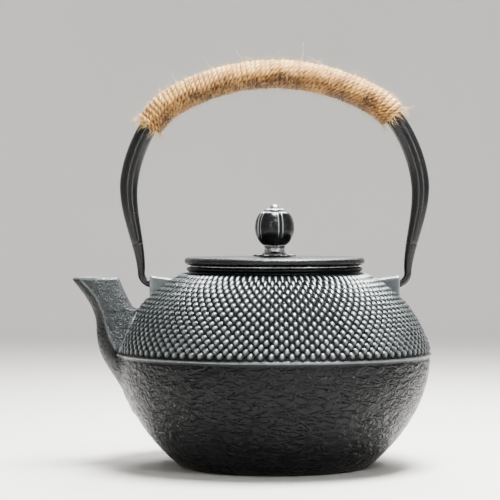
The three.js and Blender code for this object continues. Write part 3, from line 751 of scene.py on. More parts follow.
# %% Domes on those places
pitch = 2 * np.pi * radius_at / IN_RING
ring_share = np.array([0.28, 0.52, 0.76, 1.0])
rise = np.array([0.9, 0.62, 0.24, -0.12])
face = np.arange(SIDES) * 2 * np.pi / SIDES
diamond = (abs(np.cos(face)) ** 1.55 + abs(np.sin(face)) ** 1.55) ** (-1 / 1.55)
wide, tall = (0.5 * pitch)[keep], (1.02 * ring_gap)[keep]
high = (1.25 * (pitch / 5.4) ** 0.5)[keep] * chance.normal(1, 0.05, int(keep.sum()))
flat_x = ring_share[:, None] * (np.cos(face) * diamond)[None, :]
flat_y = ring_share[:, None] * (np.sin(face) * diamond)[None, :]
centres, side_way, up_way, out_way = seat[keep], sideways[keep], upward[keep], outward[keep]
domes = (
    centres[:, None, None]
    + (wide[:, None, None] * flat_x)[..., None] * side_way[:, None, None]
    + (tall[:, None, None] * flat_y)[..., None] * up_way[:, None, None]
    + (high[:, None, None] * rise[None, :, None] * np.ones(SIDES))[..., None] * out_way[:, None, None]
)
tips = centres + out_way * high[:, None]
feet = centres - out_way * 0.3
count = len(centres)
cells = np.arange(count)[:, None, None] * 4 * SIDES
ladder = grid_quads(4, SIDES)[:, ::-1]
dome_quads = (cells + ladder[None]).reshape(-1, 4)
first_ring = np.arange(SIDES)
tip_index = count * 4 * SIDES + np.arange(count)
foot_index = tip_index + count
caps = np.stack(np.broadcast_arrays(
    cells[:, 0] + first_ring, cells[:, 0] + np.roll(first_ring, -1), tip_index[:, None]), -1).reshape(-1, 3)
soles = np.stack(np.broadcast_arrays(
    cells[:, 0] + 3 * SIDES + np.roll(first_ring, -1),
    cells[:, 0] + 3 * SIDES + first_ring, foot_index[:, None]), -1).reshape(-1, 3)
nail_mesh = make_mesh("hobnails", np.vstack([domes.reshape(-1, 3), tips, feet]), dome_quads, caps, soles)
# Painted highlights: each hobnail's tip and first ring are painted bright through the wear mask.
wear_and_highlight = np.concatenate(
    [np.tile(np.repeat([0.5, 0.06, 0.0, 0.0], SIDES), count), np.full(count, 0.9), np.zeros(count)])
set_values(nail_mesh, "wear_and_highlight", wear_and_highlight)
add_piece("hobnails", nail_mesh, "pot", ["pot_body"], nail_iron)

# %% [markdown]
# ## The lugs
# Two wedge-shaped lugs stand on the shoulder, with a blind hole in each outer face for the bail's
# pin. A block with its edges bevelled would do, but the hole would have to be cut. Here a lug is
# one run of rings along its own length instead. They start at the bottom of the hole, come out of
# it, widen over the face, turn the corner, and go back into the shoulder, where they close.

# %% Lug rings
hook_low = node_box("bail_hook_right")[0]
PIN_RADIUS = 1.95
pivot_height = hook_low[2] + PIN_RADIUS
lug_face = hook_low[0] + 6.3
lug_top = pivot_height + 5.0


def lug_ring(x, half_width, low, high, corner, sides=72):
    """A ring of a lug at a distance x from the pot's axis: an oblong with round corners. Its
    points lie where rays from the pin's centre, evenly turned, meet the oblong."""
    turn = np.arange(sides) * 2 * np.pi / sides
    middle, half = (low + high) / 2 - pivot_height, (high - low) / 2
    power = min(2 + 2.2 * half_width / corner, 14)
    near, far = np.zeros(sides), np.full(sides, 40.0)
    for _ in range(30):
        mid = (near + far) / 2
        y, z = np.cos(turn) * mid / half_width, (np.sin(turn) * mid - middle) / half
        out = abs(y) ** power + abs(z) ** power > 1
        near, far = np.where(out, near, mid), np.where(out, mid, far)
    return np.stack([np.full(sides, x), np.cos(turn) * near, pivot_height + np.sin(turn) * near], -1)


def hole_ring(x, radius, sides=72):
    """A round ring of the pin's hole."""
    turn = np.arange(sides) * 2 * np.pi / sides
    return np.stack([np.full(sides, x), radius * np.cos(turn), pivot_height + radius * np.sin(turn)], -1)


def slope_top(x):
    """The wedge's top: level with the face's top edge, and lower towards the neck."""
    return lug_top - 1.5 * (lug_face - x) / 11.4


EDGE, FACE_WIDTH, FACE_LOW = 0.9, 8.6, 88.9
hole = ((-7, 0.8), (-7, 2.2), (-6.8, 2.3), (-3, 2.3), (-0.5, 2.3), (-0.12, 2.45), (0, 2.75))
hole_rings = [hole_ring(lug_face + depth, radius) for depth, radius in hole]
face_edge = lug_ring(lug_face, FACE_WIDTH, FACE_LOW, lug_top - EDGE, 2.0)
face_rings = [hole_rings[-1] * (1 - t) + face_edge * t for t in (0.35, 0.7, 1.0)]
edge_rings = [
    lug_ring(
        lug_face - EDGE * (1 - np.cos(a)), FACE_WIDTH + EDGE * np.sin(a), FACE_LOW - EDGE * np.sin(a),
        lug_top - EDGE * (1 - np.sin(a)), 2.2)
    for a in np.radians((25, 50, 75, 90))
]
back_rings = [lug_ring(x, 9.5, 86.0, slope_top(x), 2.4) for x in (66, 64, 62, 60, 58, 56, 54, 52, 50)]
rings = np.stack(hole_rings + face_rings + edge_rings + back_rings)
sides = rings.shape[1]
# Painted highlights: the rings round the face and its edge are painted bright through the wear mask, partly
# as rubbed wear.
worn_and_highlit_ring = np.concatenate([np.zeros(6), [0.4, 0.1, 0.12, 0.3], [0.75, 0.8, 0.6, 0.4], np.full(9, 0.3)])


def add_lug(name, side):
    """A lug for the side +1 or -1: the rings turned half round the Z axis for the other side."""
    spots = rings.reshape(-1, 3) * np.array([side, side, 1])
    ends = np.array([[side * (lug_face - 7), 0, pivot_height], [side * 49, 0, 95.0]])
    faces = grid_quads(len(rings), sides)[:, ::-1]
    first = np.arange(sides)
    bottom = fan(first, len(spots), True)
    back = fan(first + (len(rings) - 1) * sides, len(spots) + 1, False)
    everything = np.vstack([spots, ends])
    everything += 0.05 * cloud(everything, (1.3, 1.3, 1.3), 21)[:, None] * np.array([side, 0, 0.6])
    mesh = make_mesh(name, everything, faces, bottom, back)
    set_values(mesh, "wear_and_highlight", np.concatenate([np.repeat(worn_and_highlit_ring, sides), [0, 0]]))
    return add_piece(name, mesh, "pot", ["pot_body"], nail_iron)


add_lug("lug_right", 1)
add_lug("lug_left", -1)
print("pivot at", round(pivot_height, 2), "lug face at", round(lug_face, 2))

# %% [markdown]
# ## The lid
# The lid is a flat disc with a sharp lower edge, a skirt that goes down inside the basket, a hole
# on its axis for the knob's rivet, and a small steam vent near the back. It is turned like a pot
# on a wheel: one closed profile goes round the axis. The vent is off the axis, so it is cut with a
# Boolean modifier, which is applied at once.

# %% Turn the lid and cut its vent
lid_low, lid_high = node_box("lid_plate")
lid_radius, lid_bottom, lid_top = lid_high[0], lid_low[2] + 5.5, lid_high[2]
skirt = 40.8
lid_line = rounded([
    (skirt - 3, lid_bottom - 5.5 + 2), (skirt - 3, lid_low[2]), (skirt, lid_low[2]), (skirt, lid_bottom),
    (lid_radius - 1.4, lid_bottom), (lid_radius, lid_bottom + 0.9), (lid_radius, lid_bottom + 2.9),
    (lid_radius - 1.2, lid_bottom + 4.0), (38, lid_bottom + 4.18), (25, lid_bottom + 4.36), (2.35, lid_top),
    (2.35, lid_bottom + 0.5), (skirt - 3, lid_bottom + 0.5), (skirt - 3, lid_bottom - 3.4),
], 0.6)
lid_mesh = turned_mesh("lid", lid_line, 240)
lid = add_piece("lid", lid_mesh, "lid", ["lid_plate"], lid_iron)
vent_mesh = turned_mesh(
    "vent cutter", [(0, lid_bottom - 2), (1.5, lid_bottom - 2), (1.5, lid_top + 2), (0, lid_top + 2)], 28)
cutter = place_object("vent cutter", vent_mesh)
offset = coordinates(vent_mesh)
offset[:, 1] += 24 * MM
vent_mesh.vertices.foreach_set("co", offset.ravel())
cut = lid.modifiers.new("vent", "BOOLEAN")
cut.object, cut.operation, cut.solver = cutter, "DIFFERENCE", "EXACT"
shaped = bpy.data.meshes.new_from_object(lid.evaluated_get(bpy.context.evaluated_depsgraph_get()))
lid.modifiers.clear()
lid.data = shaped
bpy.data.objects.remove(cutter)
spot = coordinates(shaped) / MM
# Painted highlight: a bright line round the top of the lid's edge, through the wear mask.
lid_edge_highlight = (
    np.exp(-((np.hypot(spot[:, 0], spot[:, 1]) - lid_radius + 0.7) / 0.5) ** 2)
    * (spot[:, 2] > lid_bottom + 3))
set_values(shaped, "wear_and_highlight", 0.35 * lid_edge_highlight)
print("lid radius", round(lid_radius, 2), "top", round(lid_top, 2))

# %% [markdown]
# ## The knob
# The knob is a stack on one rivet: a seat of eight leaves, a waisted steel collar, a bud of five
# lobes, and a small flower under the rivet's round head. Each is turned, then its radius is
# changed round the axis: leaves and petals by a rounded wave, and the bud by narrow grooves whose
# edges stand up a little, as on a closed bud. Each has a bore on its axis, where the rivet passes.

# %% Finishes of the knob
bright, tree, shader = new_material("bright steel", Metallic=1.0)
where = object_place(tree)
cast = range_node(tree, noise_node(tree, where, 420.0, 4.0, 0.7), 0.35, 0.68)
tree.links.new(mix_colour(tree, cast, (0.18, 0.18, 0.185), (0.62, 0.62, 0.62)), shader.inputs["Base Color"])
tree.links.new(range_node(tree, cast, 0, 1, 0.42, 0.2), shader.inputs["Roughness"])
add_bump(tree, shader, cast, 0.00012)
BORE = 2.35


def lobed_mesh(name, profile, columns, change):
    """A turned ring whose radius, at each row and angle, is multiplied by change(rows, angle)."""
    profile = np.asarray(profile, float)
    points = turned(profile, columns)
    angle = np.arange(columns) * 2 * np.pi / columns
    factor = change(profile, angle)
    points[..., :2] *= np.where(
        points[..., :1] ** 2 + points[..., 1:2] ** 2 > (BORE + 0.1) ** 2, factor[..., None], 1)
    rows = len(profile)
    faces = grid_quads(rows, columns), closing_quads(rows, columns)
    return make_mesh(name, points.reshape(-1, 3), *faces), angle


# %% Seat, collar, bud and flower
seat_low, seat_high = node_box("knob_seat")
t = np.linspace(0, 1, 9)[:, None]
leaf_top = np.hstack([12 - 7 * t, seat_low[2] + 0.35 + 1.65 * t ** 0.8])
seat_line = np.vstack(
    [[(BORE, seat_low[2]), (7, seat_low[2]), (11.6, seat_low[2])], leaf_top, [(BORE, seat_high[2])]])


def eight_leaves(profile, angle):
    """Less radius between leaves: a wave of eight round crests, strongest at the rim."""
    notch = 1 - abs(np.cos(4 * (angle + np.pi / 2))) ** 0.7
    return 1 - 0.24 * notch[None, :] * ease((profile[:, :1] - 4) / 8)


seat_mesh, _ = lobed_mesh("knob_seat_leaves", seat_line, 160, eight_leaves)
# The wear mask paints the seat brighter between its leaves.
set_values(
    seat_mesh, "wear_and_highlight",
    np.tile(0.35 * (1 - abs(np.cos(4 * np.arange(160) * 2 * np.pi / 160))), (len(seat_line), 1)).ravel())
add_piece("knob_seat_leaves", seat_mesh, "lid", ["knob_seat"], knob_iron)

collar_low, collar_high = node_box("knob_collar")
t = np.linspace(0, 1, 12)
waist = 6.0 - 0.5 * np.sin(np.pi * t) - 0.25 * (abs(2 * t - 1) ** 8)
side = np.stack([waist, collar_low[2] + t * (collar_high[2] - collar_low[2])], -1)
collar_line = np.vstack(
    [[(BORE, collar_low[2]), (5.4, collar_low[2])], side, [(5.4, collar_high[2]), (BORE, collar_high[2])]])
collar_mesh = turned_mesh("knob_collar_ring", collar_line, 72)
add_piece("knob_collar_ring", collar_mesh, "lid", ["knob_collar"], bright)

bud_low, bud_high = node_box("knob_bud")
bud_side = np.vstack([
    bezier((6.7, bud_low[2] + 0.25), (9.0, bud_low[2] + 1.9),
        (10.8, bud_low[2] + 5.4), (10.8, bud_low[2] + 9.6), steps=18),
    bezier((10.8, bud_low[2] + 9.6), (10.8, bud_low[2] + 13.6),
        (9.3, bud_low[2] + 16.6), (7.9, bud_high[2] - 0.35), steps=18)[1:],
])
bud_line = np.vstack(
    [[(BORE, bud_low[2]), (6.2, bud_low[2])], bud_side,
        [(7.2, bud_high[2]), (6.2, bud_high[2] - 0.25), (4.5, bud_high[2] - 0.1), (BORE, bud_high[2])]])


def groove_angle(angle):
    """How far round the axis each angle is from the nearest of five grooves."""
    return (angle + np.radians(71.5) + np.pi / 5) % (2 * np.pi / 5) - np.pi / 5


def five_grooves(profile, angle):
    """Grooves 72 degrees apart: a narrow dip, a raised line on each side, and full lobes between.
    They fade out towards the bud's foot."""
    from_groove = groove_angle(angle)
    across = abs(from_groove)[None, :] * profile[:, :1]
    depth = ease((profile[:, 1:] - bud_low[2] - 2.0) / 5) * (profile[:, :1] > 4)
    dip = 0.85 * np.exp(-(across / 0.55) ** 2)
    brink = 0.3 * np.exp(-((across - 1.15) / 0.45) ** 2)
    lobe = 0.35 * (1 - (abs(from_groove)[None, :] / (np.pi / 5) - 1) ** 2)
    return 1 + (brink - dip + lobe - 0.35) * depth / np.maximum(profile[:, :1], 4)


bud_mesh, angle = lobed_mesh("knob_bud_lobes", bud_line, 300, five_grooves)
from_groove = groove_angle(angle)
# Painted highlights: the raised lines beside the bud's grooves and the ledge round its top are painted bright
# through the wear mask.
brink = (
    np.exp(-((abs(from_groove)[None, :] * bud_line[:, :1] - 1.15) / 0.35) ** 2)
    * ease((bud_line[:, 1:] - bud_low[2] - 3) / 4))
ledge_highlight = np.exp(-((bud_line[:, 1:] - bud_high[2] + 0.3) / 0.35) ** 2) * (bud_line[:, :1] > 6)
set_values(bud_mesh, "wear_and_highlight", np.clip(0.8 * brink + 0.7 * ledge_highlight, 0, 1).ravel())
add_piece("knob_bud_lobes", bud_mesh, "lid", ["knob_bud"], knob_iron)

flower_low, flower_high = node_box("knob_flower")
flower_line = rounded([
    (BORE, flower_low[2] + 0.4), (BORE, flower_low[2]), (4.6, flower_low[2]), (6.2, flower_low[2] + 0.5),
    (6.1, flower_low[2] + 1.0), (5.0, flower_high[2] - 0.15), (3.6, flower_high[2]),
    (BORE, flower_high[2] - 0.3), (BORE, flower_low[2] + 0.8),
], 0.35, 4)


def five_petals(profile, angle):
    """Less radius between petals: a wave of five round crests."""
    notch = 1 - abs(np.cos(2.5 * (angle + np.pi / 2))) ** 0.8
    return 1 - 0.27 * notch[None, :] * ease((profile[:, :1] - 2.6) / 2.5)


flower_mesh, _ = lobed_mesh("knob_flower_petals", flower_line, 150, five_petals)
add_piece("knob_flower_petals", flower_mesh, "lid", ["knob_flower"], bright)

# %% Rivet and washer
rivet_low, rivet_high = node_box("knob_rivet")
head = np.radians(np.linspace(0, 90, 9)[:-1])
tail_top = rivet_low[2] + 1.6
head_foot = rivet_high[2] - 2.0
rivet_line = np.vstack([
    [(0, rivet_low[2]), (2.4, rivet_low[2] + 0.1), (3.5, rivet_low[2] + 0.5),
        (3.8, tail_top - 0.4), (3.6, tail_top), (2.0, tail_top), (2.0, 125), (2.0, head_foot)],
    np.stack([2.6 * np.cos(head), head_foot + 2.0 * np.sin(head)], -1),
    [(0, rivet_high[2])],
])
add_piece(
    "knob_rivet_pin", turned_mesh("knob_rivet_pin", rivet_line, 48),
    "lid", ["knob_rivet"], bright)
washer_low, washer_high = node_box("rivet_washer")
washer_line = rounded([
    (BORE, washer_low[2] + 0.5), (BORE, washer_low[2]), (6.5, washer_low[2]),
    (6.5, washer_high[2]), (BORE, washer_high[2]), (BORE, washer_low[2] + 0.6)], 0.25, 4)
add_piece("rivet_washer_ring", turned_mesh("rivet_washer_ring", washer_line, 56),
    "lid", ["rivet_washer"], bright)
print("knob from", round(seat_low[2], 1), "to", round(rivet_high[2], 1), "mm")

# %% [markdown]
# ## The bail
# The bail is an iron tube, flattened at its crown and drawn in to two solid hooks. A curve object
# with a bevel could carry it, but the grip and its twine need the same line, with a distance along
# it. So the line is worked out once, as an arc, two Bezier curves and a bend, and each piece is a
# round section carried along it. The section's frame is the line's own normal and the Y axis.

# %% The bail's line
arm_foot = lug_face + 4.9
half_width = arm_foot + 6.9
crown = pivot_height + 115.3
crown_radius = 110.0
crown_turn = np.arccos(half_width * 0.7125 / crown_radius)
crown_end = np.array([crown_radius * np.cos(crown_turn), crown - crown_radius * (1 - np.sin(crown_turn))])
widest = pivot_height + 52
pull = (half_width - crown_end[0]) * 0.66
turn = np.linspace(np.pi / 2, crown_turn, 80)
arc = np.stack([crown_radius * np.cos(turn), crown - crown_radius + crown_radius * np.sin(turn)], -1)
shoulder = bezier(crown_end, crown_end + pull * np.array([np.sin(crown_turn), -np.cos(crown_turn)]),
    (half_width, widest + pull), (half_width, widest), steps=80)
arm = bezier((half_width, widest), (half_width, widest - 16.12),
    (arm_foot, pivot_height + 20.28), (arm_foot, pivot_height + 6), steps=80)
turn = np.linspace(0, -np.pi / 2, 24)
bend = np.stack([arm_foot - 6 + 6 * np.cos(turn), pivot_height + 6 + 6 * np.sin(turn)], -1)
pin = np.array([(x, pivot_height) for x in np.linspace(arm_foot - 6, lug_face - 6.3, 12)])
half_line = even(np.vstack([arc, shoulder[1:], arm[1:], bend[1:], pin[1:]]), 0.25)
half_run = np.arange(len(half_line)) * np.linalg.norm(np.diff(half_line, axis=0), axis=1).mean()
half_length = half_run[-1]


def along_bail(distance):
    """Centre and in-plane normal of the bail at signed distances from its crown. The normal is the
    line's direction turned a quarter, so that it points away from the hollow of the bail."""
    far, side = abs(distance), np.where(distance < 0, -1.0, 1.0)
    x, z = np.interp(far, half_run, half_line[:, 0]), np.interp(far, half_run, half_line[:, 1])
    ahead, behind = np.minimum(far + 0.6, half_length), np.maximum(far - 0.6, 0)
    dx = np.interp(ahead, half_run, half_line[:, 0]) - np.interp(behind, half_run, half_line[:, 0])
    dz = np.interp(ahead, half_run, half_line[:, 1]) - np.interp(behind, half_run, half_line[:, 1])
    size = np.hypot(dx, dz)
    zero = 0 * x
    return np.stack([side * x, zero, z], -1), np.stack([-side * dz / size, zero, dx / size], -1)


def bail_radius(distance):
    """Full thickness above the widest place, thinning by a power curve to the hook's."""
    height = np.interp(abs(distance), half_run, half_line[:, 1])
    share = np.clip((height - pivot_height - 6) / 51, 0, 1)
    return PIN_RADIUS + 3.05 * (1 - (1 - share) ** 1.3)


def carried(distance, radius, columns):
    """A round section of each radius, carried along the bail at each distance."""
    centre, normal = along_bail(distance)
    angle = np.arange(columns) * 2 * np.pi / columns
    spoke = np.cos(angle)[:, None] * normal[:, None, :] - np.sin(angle)[:, None] * np.array([0, 1, 0])
    return centre[:, None, :] + np.asarray(radius)[:, None, None] * spoke


# %% Black paint
black, tree, shader = new_material("satin black", Metallic=0.0, IOR=1.5, Coat_Roughness=0.22)
where = object_place(tree)
flow = noise_node(tree, where, 180.0, 3.0, 0.5)
tree.links.new(
    mix_colour(tree, flow, (0.006, 0.006, 0.0065), (0.011, 0.011, 0.012)), shader.inputs["Base Color"])
tree.links.new(range_node(tree, flow, 0.3, 0.7, 0.2, 0.29), shader.inputs["Roughness"])
add_bump(tree, shader, noise_node(tree, where, 520.0, 2.0, 0.5), 0.000015)

# %% Tube and hooks
joint_at = float(np.interp(-(pivot_height + 22.2), -half_line[:, 1], half_run))
tube_run = np.linspace(-joint_at, joint_at, 300)
ends = np.array([0.0, 0.03, 0.1])
out_run = np.concatenate([-joint_at + ends, tube_run[2:-2], joint_at - ends[::-1]])
out_radius = bail_radius(out_run) - np.concatenate([[0.12, 0.04, 0], np.zeros(296), [0, 0.04, 0.12]])
in_run = np.linspace(joint_at, -joint_at, 90)
TUBE_WALL, TUBE_SIDES, HOOK_SIDES = 1.2, 28, 24
tube_rows = np.concatenate([
    carried(out_run, out_radius, TUBE_SIDES), carried(in_run, bail_radius(in_run) - TUBE_WALL, TUBE_SIDES)])
tube_faces = grid_quads(len(tube_rows), TUBE_SIDES), closing_quads(len(tube_rows), TUBE_SIDES)
tube_mesh = make_mesh("bail_tube_iron", tube_rows.reshape(-1, 3), *tube_faces)
add_piece("bail_tube_iron", tube_mesh, "bail", ["bail_tube"], black)


def add_hook(name, node, side):
    """A hook: a tenon inside the tube, the arm, the bend and the pin, with rounded ends."""
    tenon = float(bail_radius(joint_at)) - TUBE_WALL - 0.25
    arm_top = joint_at + 0.06
    arm_run = np.concatenate(
        [arm_top + np.array([0.03, 0.1]), np.linspace(arm_top + 0.7, half_length - 0.5, 90)])
    run_rows = np.concatenate(
        [[joint_at - 9, joint_at - 8.7, joint_at - 8, arm_top, arm_top],
            arm_run, [half_length - 0.2, half_length]])
    radii = np.concatenate(
        [[tenon * 0.6, tenon * 0.93, tenon, tenon, bail_radius(arm_top) - 0.12],
            bail_radius(arm_run), [1.8, 1.3]])
    radii[5] -= 0.05
    rows = carried(run_rows, radii, HOOK_SIDES)
    first, final = along_bail(run_rows[:1])[0], along_bail(run_rows[-1:])[0]
    points = np.vstack([rows.reshape(-1, 3), first, final]) * np.array([side, side, 1])
    quads, ring = grid_quads(len(rows), HOOK_SIDES), np.arange(HOOK_SIDES)
    near = fan(ring, len(points) - 2, False)
    far = fan(ring + (len(rows) - 1) * HOOK_SIDES, len(points) - 1, True)
    return add_piece(name, make_mesh(name, points, quads, near, far), "bail", [node], black)


add_hook("bail_hook_right_iron", "bail_hook_right", 1)
add_hook("bail_hook_left_iron", "bail_hook_left", -1)
print("bail half length", round(float(half_length), 1), "joint at", round(joint_at, 1))

# %% [markdown]
# ## The twine grip
# Jute twine is wound round the bail, close turn against close turn. A striped sleeve would look
# smooth at its edge. Real twine is three strands twisted together, so its section is three round
# lobes that turn as they go. The twine is one tube of that section along a helix round the bail's
# line, with each turn a little off its place. Where the fibres run is stored on the mesh, so the
# material can stretch its noise along them. Stored too are two masks of painted shade: how deep
# each point lies in the groove between strands, and how far each turn faces the hollow of the
# bail, where its underside is painted darker.

# %% Jute finish
jute, tree, shader = new_material("jute twine", IOR=1.45, Sheen_Weight=0.35, Sheen_Roughness=0.5)
shader.inputs["Specular IOR Level"].default_value = 0.2
fibre = tree.nodes.new("ShaderNodeAttribute")
fibre.attribute_name = "fibre"
strands = noise_node(tree, fibre.outputs["Vector"], 3.2, 4.0, 0.7)
where = object_place(tree)
patches = noise_node(tree, where, 90.0, 3.0, 0.6)
tone = math_node(
    tree, "ADD", math_node(tree, "MULTIPLY", strands, 0.6), math_node(tree, "MULTIPLY", patches, 0.4))
# Painted shade: the tone is darkened in the grooves between strands and on the undersides that face the
# hollow of the bail.
groove_shade = attribute(tree, "groove_shade")
tone = math_node(
    tree, "SUBTRACT", range_node(tree, tone, 0.32, 0.6), math_node(tree, "MULTIPLY", groove_shade, 0.6))
tone = math_node(
    tree, "SUBTRACT", tone, math_node(tree, "MULTIPLY", attribute(tree, "underside_shade"), 0.42), clamp=True)
ramp = tree.nodes.new("ShaderNodeValToRGB")
tree.links.new(tone, ramp.inputs["Fac"])
stops = (
    (0.0, (0.055, 0.02, 0.004)), (0.3, (0.32, 0.14, 0.03)),
    (0.6, (0.62, 0.375, 0.12)), (1.0, (0.92, 0.73, 0.38)))
while len(ramp.color_ramp.elements) < len(stops):
    ramp.color_ramp.elements.new(0.5)
for stop, (at, colour) in zip(ramp.color_ramp.elements, stops):
    stop.position, stop.color = at, (*colour, 1.0)
tree.links.new(ramp.outputs["Color"], shader.inputs["Base Color"])
tree.links.new(range_node(tree, strands, 0.3, 0.7, 0.95, 0.7), shader.inputs["Roughness"])
add_bump(tree, shader, strands, 0.0006)

# %% Wind the twine
GRIP_START, GRIP_END, TURNS, TWINE = -78.3, 71.7, 57.5, 1.38
turn_length = 2 * np.pi * 6.8
samples = int(TURNS * turn_length / 0.66)
share = np.linspace(0, 1, samples)
wound = share * TURNS
rough = np.random.default_rng(8)
jitter_at = np.interp(wound * 3, np.arange(int(TURNS * 3) + 2), rough.normal(0, 1, int(TURNS * 3) + 2))
drift_at = np.interp(wound * 2, np.arange(int(TURNS * 2) + 2), rough.normal(0, 1, int(TURNS * 2) + 2))
run_of_twine = GRIP_START + 1.4 + share * (GRIP_END - GRIP_START - 2.8) + 0.1 * jitter_at
circle = wound * 2 * np.pi + 2.2
out_by = bail_radius(run_of_twine) + 0.2 + TWINE + 0.13 * drift_at


def round_bail(distance, angle, out):
    """Points at a distance along the bail, an angle round it, and a distance out from its line."""
    centre, normal = along_bail(distance)
    y = np.array([0.0, 1.0, 0.0])
    spoke = np.cos(angle)[:, None] * normal + np.sin(angle)[:, None] * y
    return centre + np.asarray(out)[:, None] * spoke, spoke


def tube_along(line, spoke, radius_at, sides):
    """A tube along a line of points: sections of radius_at(row, angle), framed by the direction of
    the line and the part of spoke that is square to it."""
    ahead = np.gradient(line, axis=0)
    ahead /= np.linalg.norm(ahead, axis=1)[:, None]
    out = spoke - (spoke * ahead).sum(1)[:, None] * ahead
    out /= np.linalg.norm(out, axis=1)[:, None]
    side = np.cross(ahead, out)
    angle = np.arange(sides) * 2 * np.pi / sides
    r = radius_at(np.arange(len(line))[:, None], angle[None, :])[..., None]
    return line[:, None] + r * (
        np.cos(angle)[None, :, None] * out[:, None] + np.sin(angle)[None, :, None] * side[:, None])


twine_line, spoke = round_bail(run_of_twine, circle, out_by)
lay = share * TURNS * turn_length
twist = 2 * np.pi * lay / 7.6
SECTION = 12


def three_strands(row, angle):
    """The radius of three lobes, turned on by the twist, with a taper at each end of the twine."""
    lobe = abs(np.cos(1.5 * (angle - twist[row]))) ** 0.8
    tip = ease((row + 2) / 12) * ease((samples + 1 - row) / 12)
    return TWINE * (0.86 + 0.2 * lobe) * (0.35 + 0.65 * tip)


twine_rows = tube_along(twine_line, spoke, three_strands, SECTION)
angle = np.arange(SECTION) * 2 * np.pi / SECTION
turned_on = angle[None, :] - twist[:, None]
lobes = abs(np.cos(1.5 * turned_on)) ** 0.8
twine_points = np.vstack([twine_rows.reshape(-1, 3), twine_line[:1], twine_line[-1:]])
ring = np.arange(SECTION)
twine_mesh = make_mesh(
    "twine", twine_points, grid_quads(samples, SECTION),
    fan(ring, len(twine_points) - 2, False), fan(ring + (samples - 1) * SECTION, len(twine_points) - 1, True))
# Painted shade masks: the groove between strands, and the underside facing the hollow of the bail.
set_values(twine_mesh, "groove_shade", np.append((1 - lobes).ravel(), [0, 0]))
underside_shade = ease(0.5 - 0.9 * np.cos(circle))[:, None] + 0 * turned_on
set_values(twine_mesh, "underside_shade", np.append(underside_shade.ravel(), [0, 0]))
fibres_run = np.stack([
    np.cos(turned_on) * 1.2, np.sin(turned_on) * 1.2, lay[:, None] * 0.11 + 0 * turned_on], -1).reshape(-1, 3)
layer = twine_mesh.attributes.new("fibre", "FLOAT_VECTOR", "POINT")
layer.data.foreach_set("vector", np.vstack([fibres_run, [[0, 0, 0], [0, 0, 0]]]).astype(np.float32).ravel())
add_piece("twine", twine_mesh, "bail", ["grip_wrap"], jute)

# %% [markdown]
# ## Loose fibres
# Jute sheds: short hairs stand up all over the grip, both ends are frayed, and a few long fibres
# have sprung loose. A hair system would not survive the export, so each hair is a very thin
# three-sided tube, curved by a quadratic: it starts in the twine, leaves along its own direction,
# and bends towards a second one. All hairs are again one array.

# %% Grow the fibres
straw, tree, shader = new_material("jute fibre", IOR=1.45, Roughness=0.7)
shader.inputs["Specular IOR Level"].default_value = 0.25
strands = noise_node(tree, object_place(tree), 700.0, 2.0)
tree.links.new(mix_colour(tree, strands, (0.42, 0.22, 0.07), (0.86, 0.66, 0.34)), shader.inputs["Base Color"])
grow = np.random.default_rng(17)


def directions(distance, angle):
    """Outward, along the bail, and round it, at places on the grip."""
    _, out = round_bail(distance, angle, np.ones_like(distance))
    _, normal = along_bail(distance)
    ahead = np.cross(np.array([0.0, 1.0, 0.0]), normal)
    return out, ahead, np.cross(ahead, out)


def hairs(distance, angle, lift, forward, aside, length, thick, droop):
    """Curved tubes: point(t) = start + t length leaving + t^2 length droop bend, with t from 0 to 1,
    and a radius that thins to a fifth at the tip."""
    start, _ = round_bail(distance, angle, bail_radius(distance) + 2.35)
    out, ahead, aside_way = directions(distance, angle)
    leaving = out * lift[:, None] + ahead * forward[:, None] + aside_way * aside[:, None]
    leaving /= np.linalg.norm(leaving, axis=1)[:, None]
    bend = grow.normal(0, 1, start.shape)
    bend -= (bend * leaving).sum(1)[:, None] * leaving
    bend /= np.linalg.norm(bend, axis=1)[:, None]
    t = np.linspace(0, 1, 6)[None, :, None]
    size = length[:, None, None]
    line = start[:, None] + leaving[:, None] * t * size + bend[:, None] * droop[:, None, None] * t ** 2 * size
    across = np.cross(leaving, bend)
    turn = np.arange(3) * 2 * np.pi / 3
    r = thick * (1 - 0.8 * t[..., None])
    section = (
        np.cos(turn)[None, None, :, None] * bend[:, None, None]
        + np.sin(turn)[None, None, :, None] * across[:, None, None])
    return line[:, :, None] + r * section


def many(count, low, high):
    """Random numbers between two limits."""
    return grow.uniform(low, high, count)


all_over = hairs(
    many(3300, GRIP_START + 1, GRIP_END - 1), many(3300, 0, 2 * np.pi), many(3300, 0.05, 0.8),
    grow.normal(0, 0.6, 3300), np.sign(grow.normal(0, 1, 3300)) * many(3300, 0.3, 1),
    many(3300, 1.8, 5.0), 0.1, many(3300, 0.1, 0.6))
frayed = []
for end, way, count in ((GRIP_START, -1, 120), (GRIP_END, 1, 120)):
    frayed.append(hairs(
        end - way * many(count, 0, 2.5), many(count, 0, 2 * np.pi),
        many(count, 0.1, 0.9), way * many(count, 0.3, 1.3),
        grow.normal(0, 0.5, count), many(count, 2.5, 7.5), 0.09, many(count, 0.1, 0.7)))
sprung_at = np.array([-62, -33, -24, -14, -9, -3, 22, 27, 37, 41, 50, 58, 66, 70, -50, -18, 12, 30], float)
sprung = hairs(
    sprung_at, many(18, -0.9, 0.9), many(18, 0.2, 0.6), many(18, -1.0, 1.2), many(18, -0.5, 0.5),
    many(18, 6, 13), 0.15, many(18, 0.5, 1.1))
under_at = np.array([-12, -8, -3, 3, 33, 37, 42, 47, 56], float)
beneath = hairs(
    under_at, np.pi + many(9, -0.5, 0.5), many(9, 0.4, 0.9), many(9, -0.6, 0.6), many(9, -0.4, 0.4),
    many(9, 5, 10), 0.12, many(9, 0.3, 0.9))
hair_rows = np.concatenate([all_over, *frayed, sprung, beneath])
count = len(hair_rows)
cells = (np.arange(count) * 18)[:, None, None]
hair_quads = (cells + grid_quads(6, 3)[None]).reshape(-1, 4)
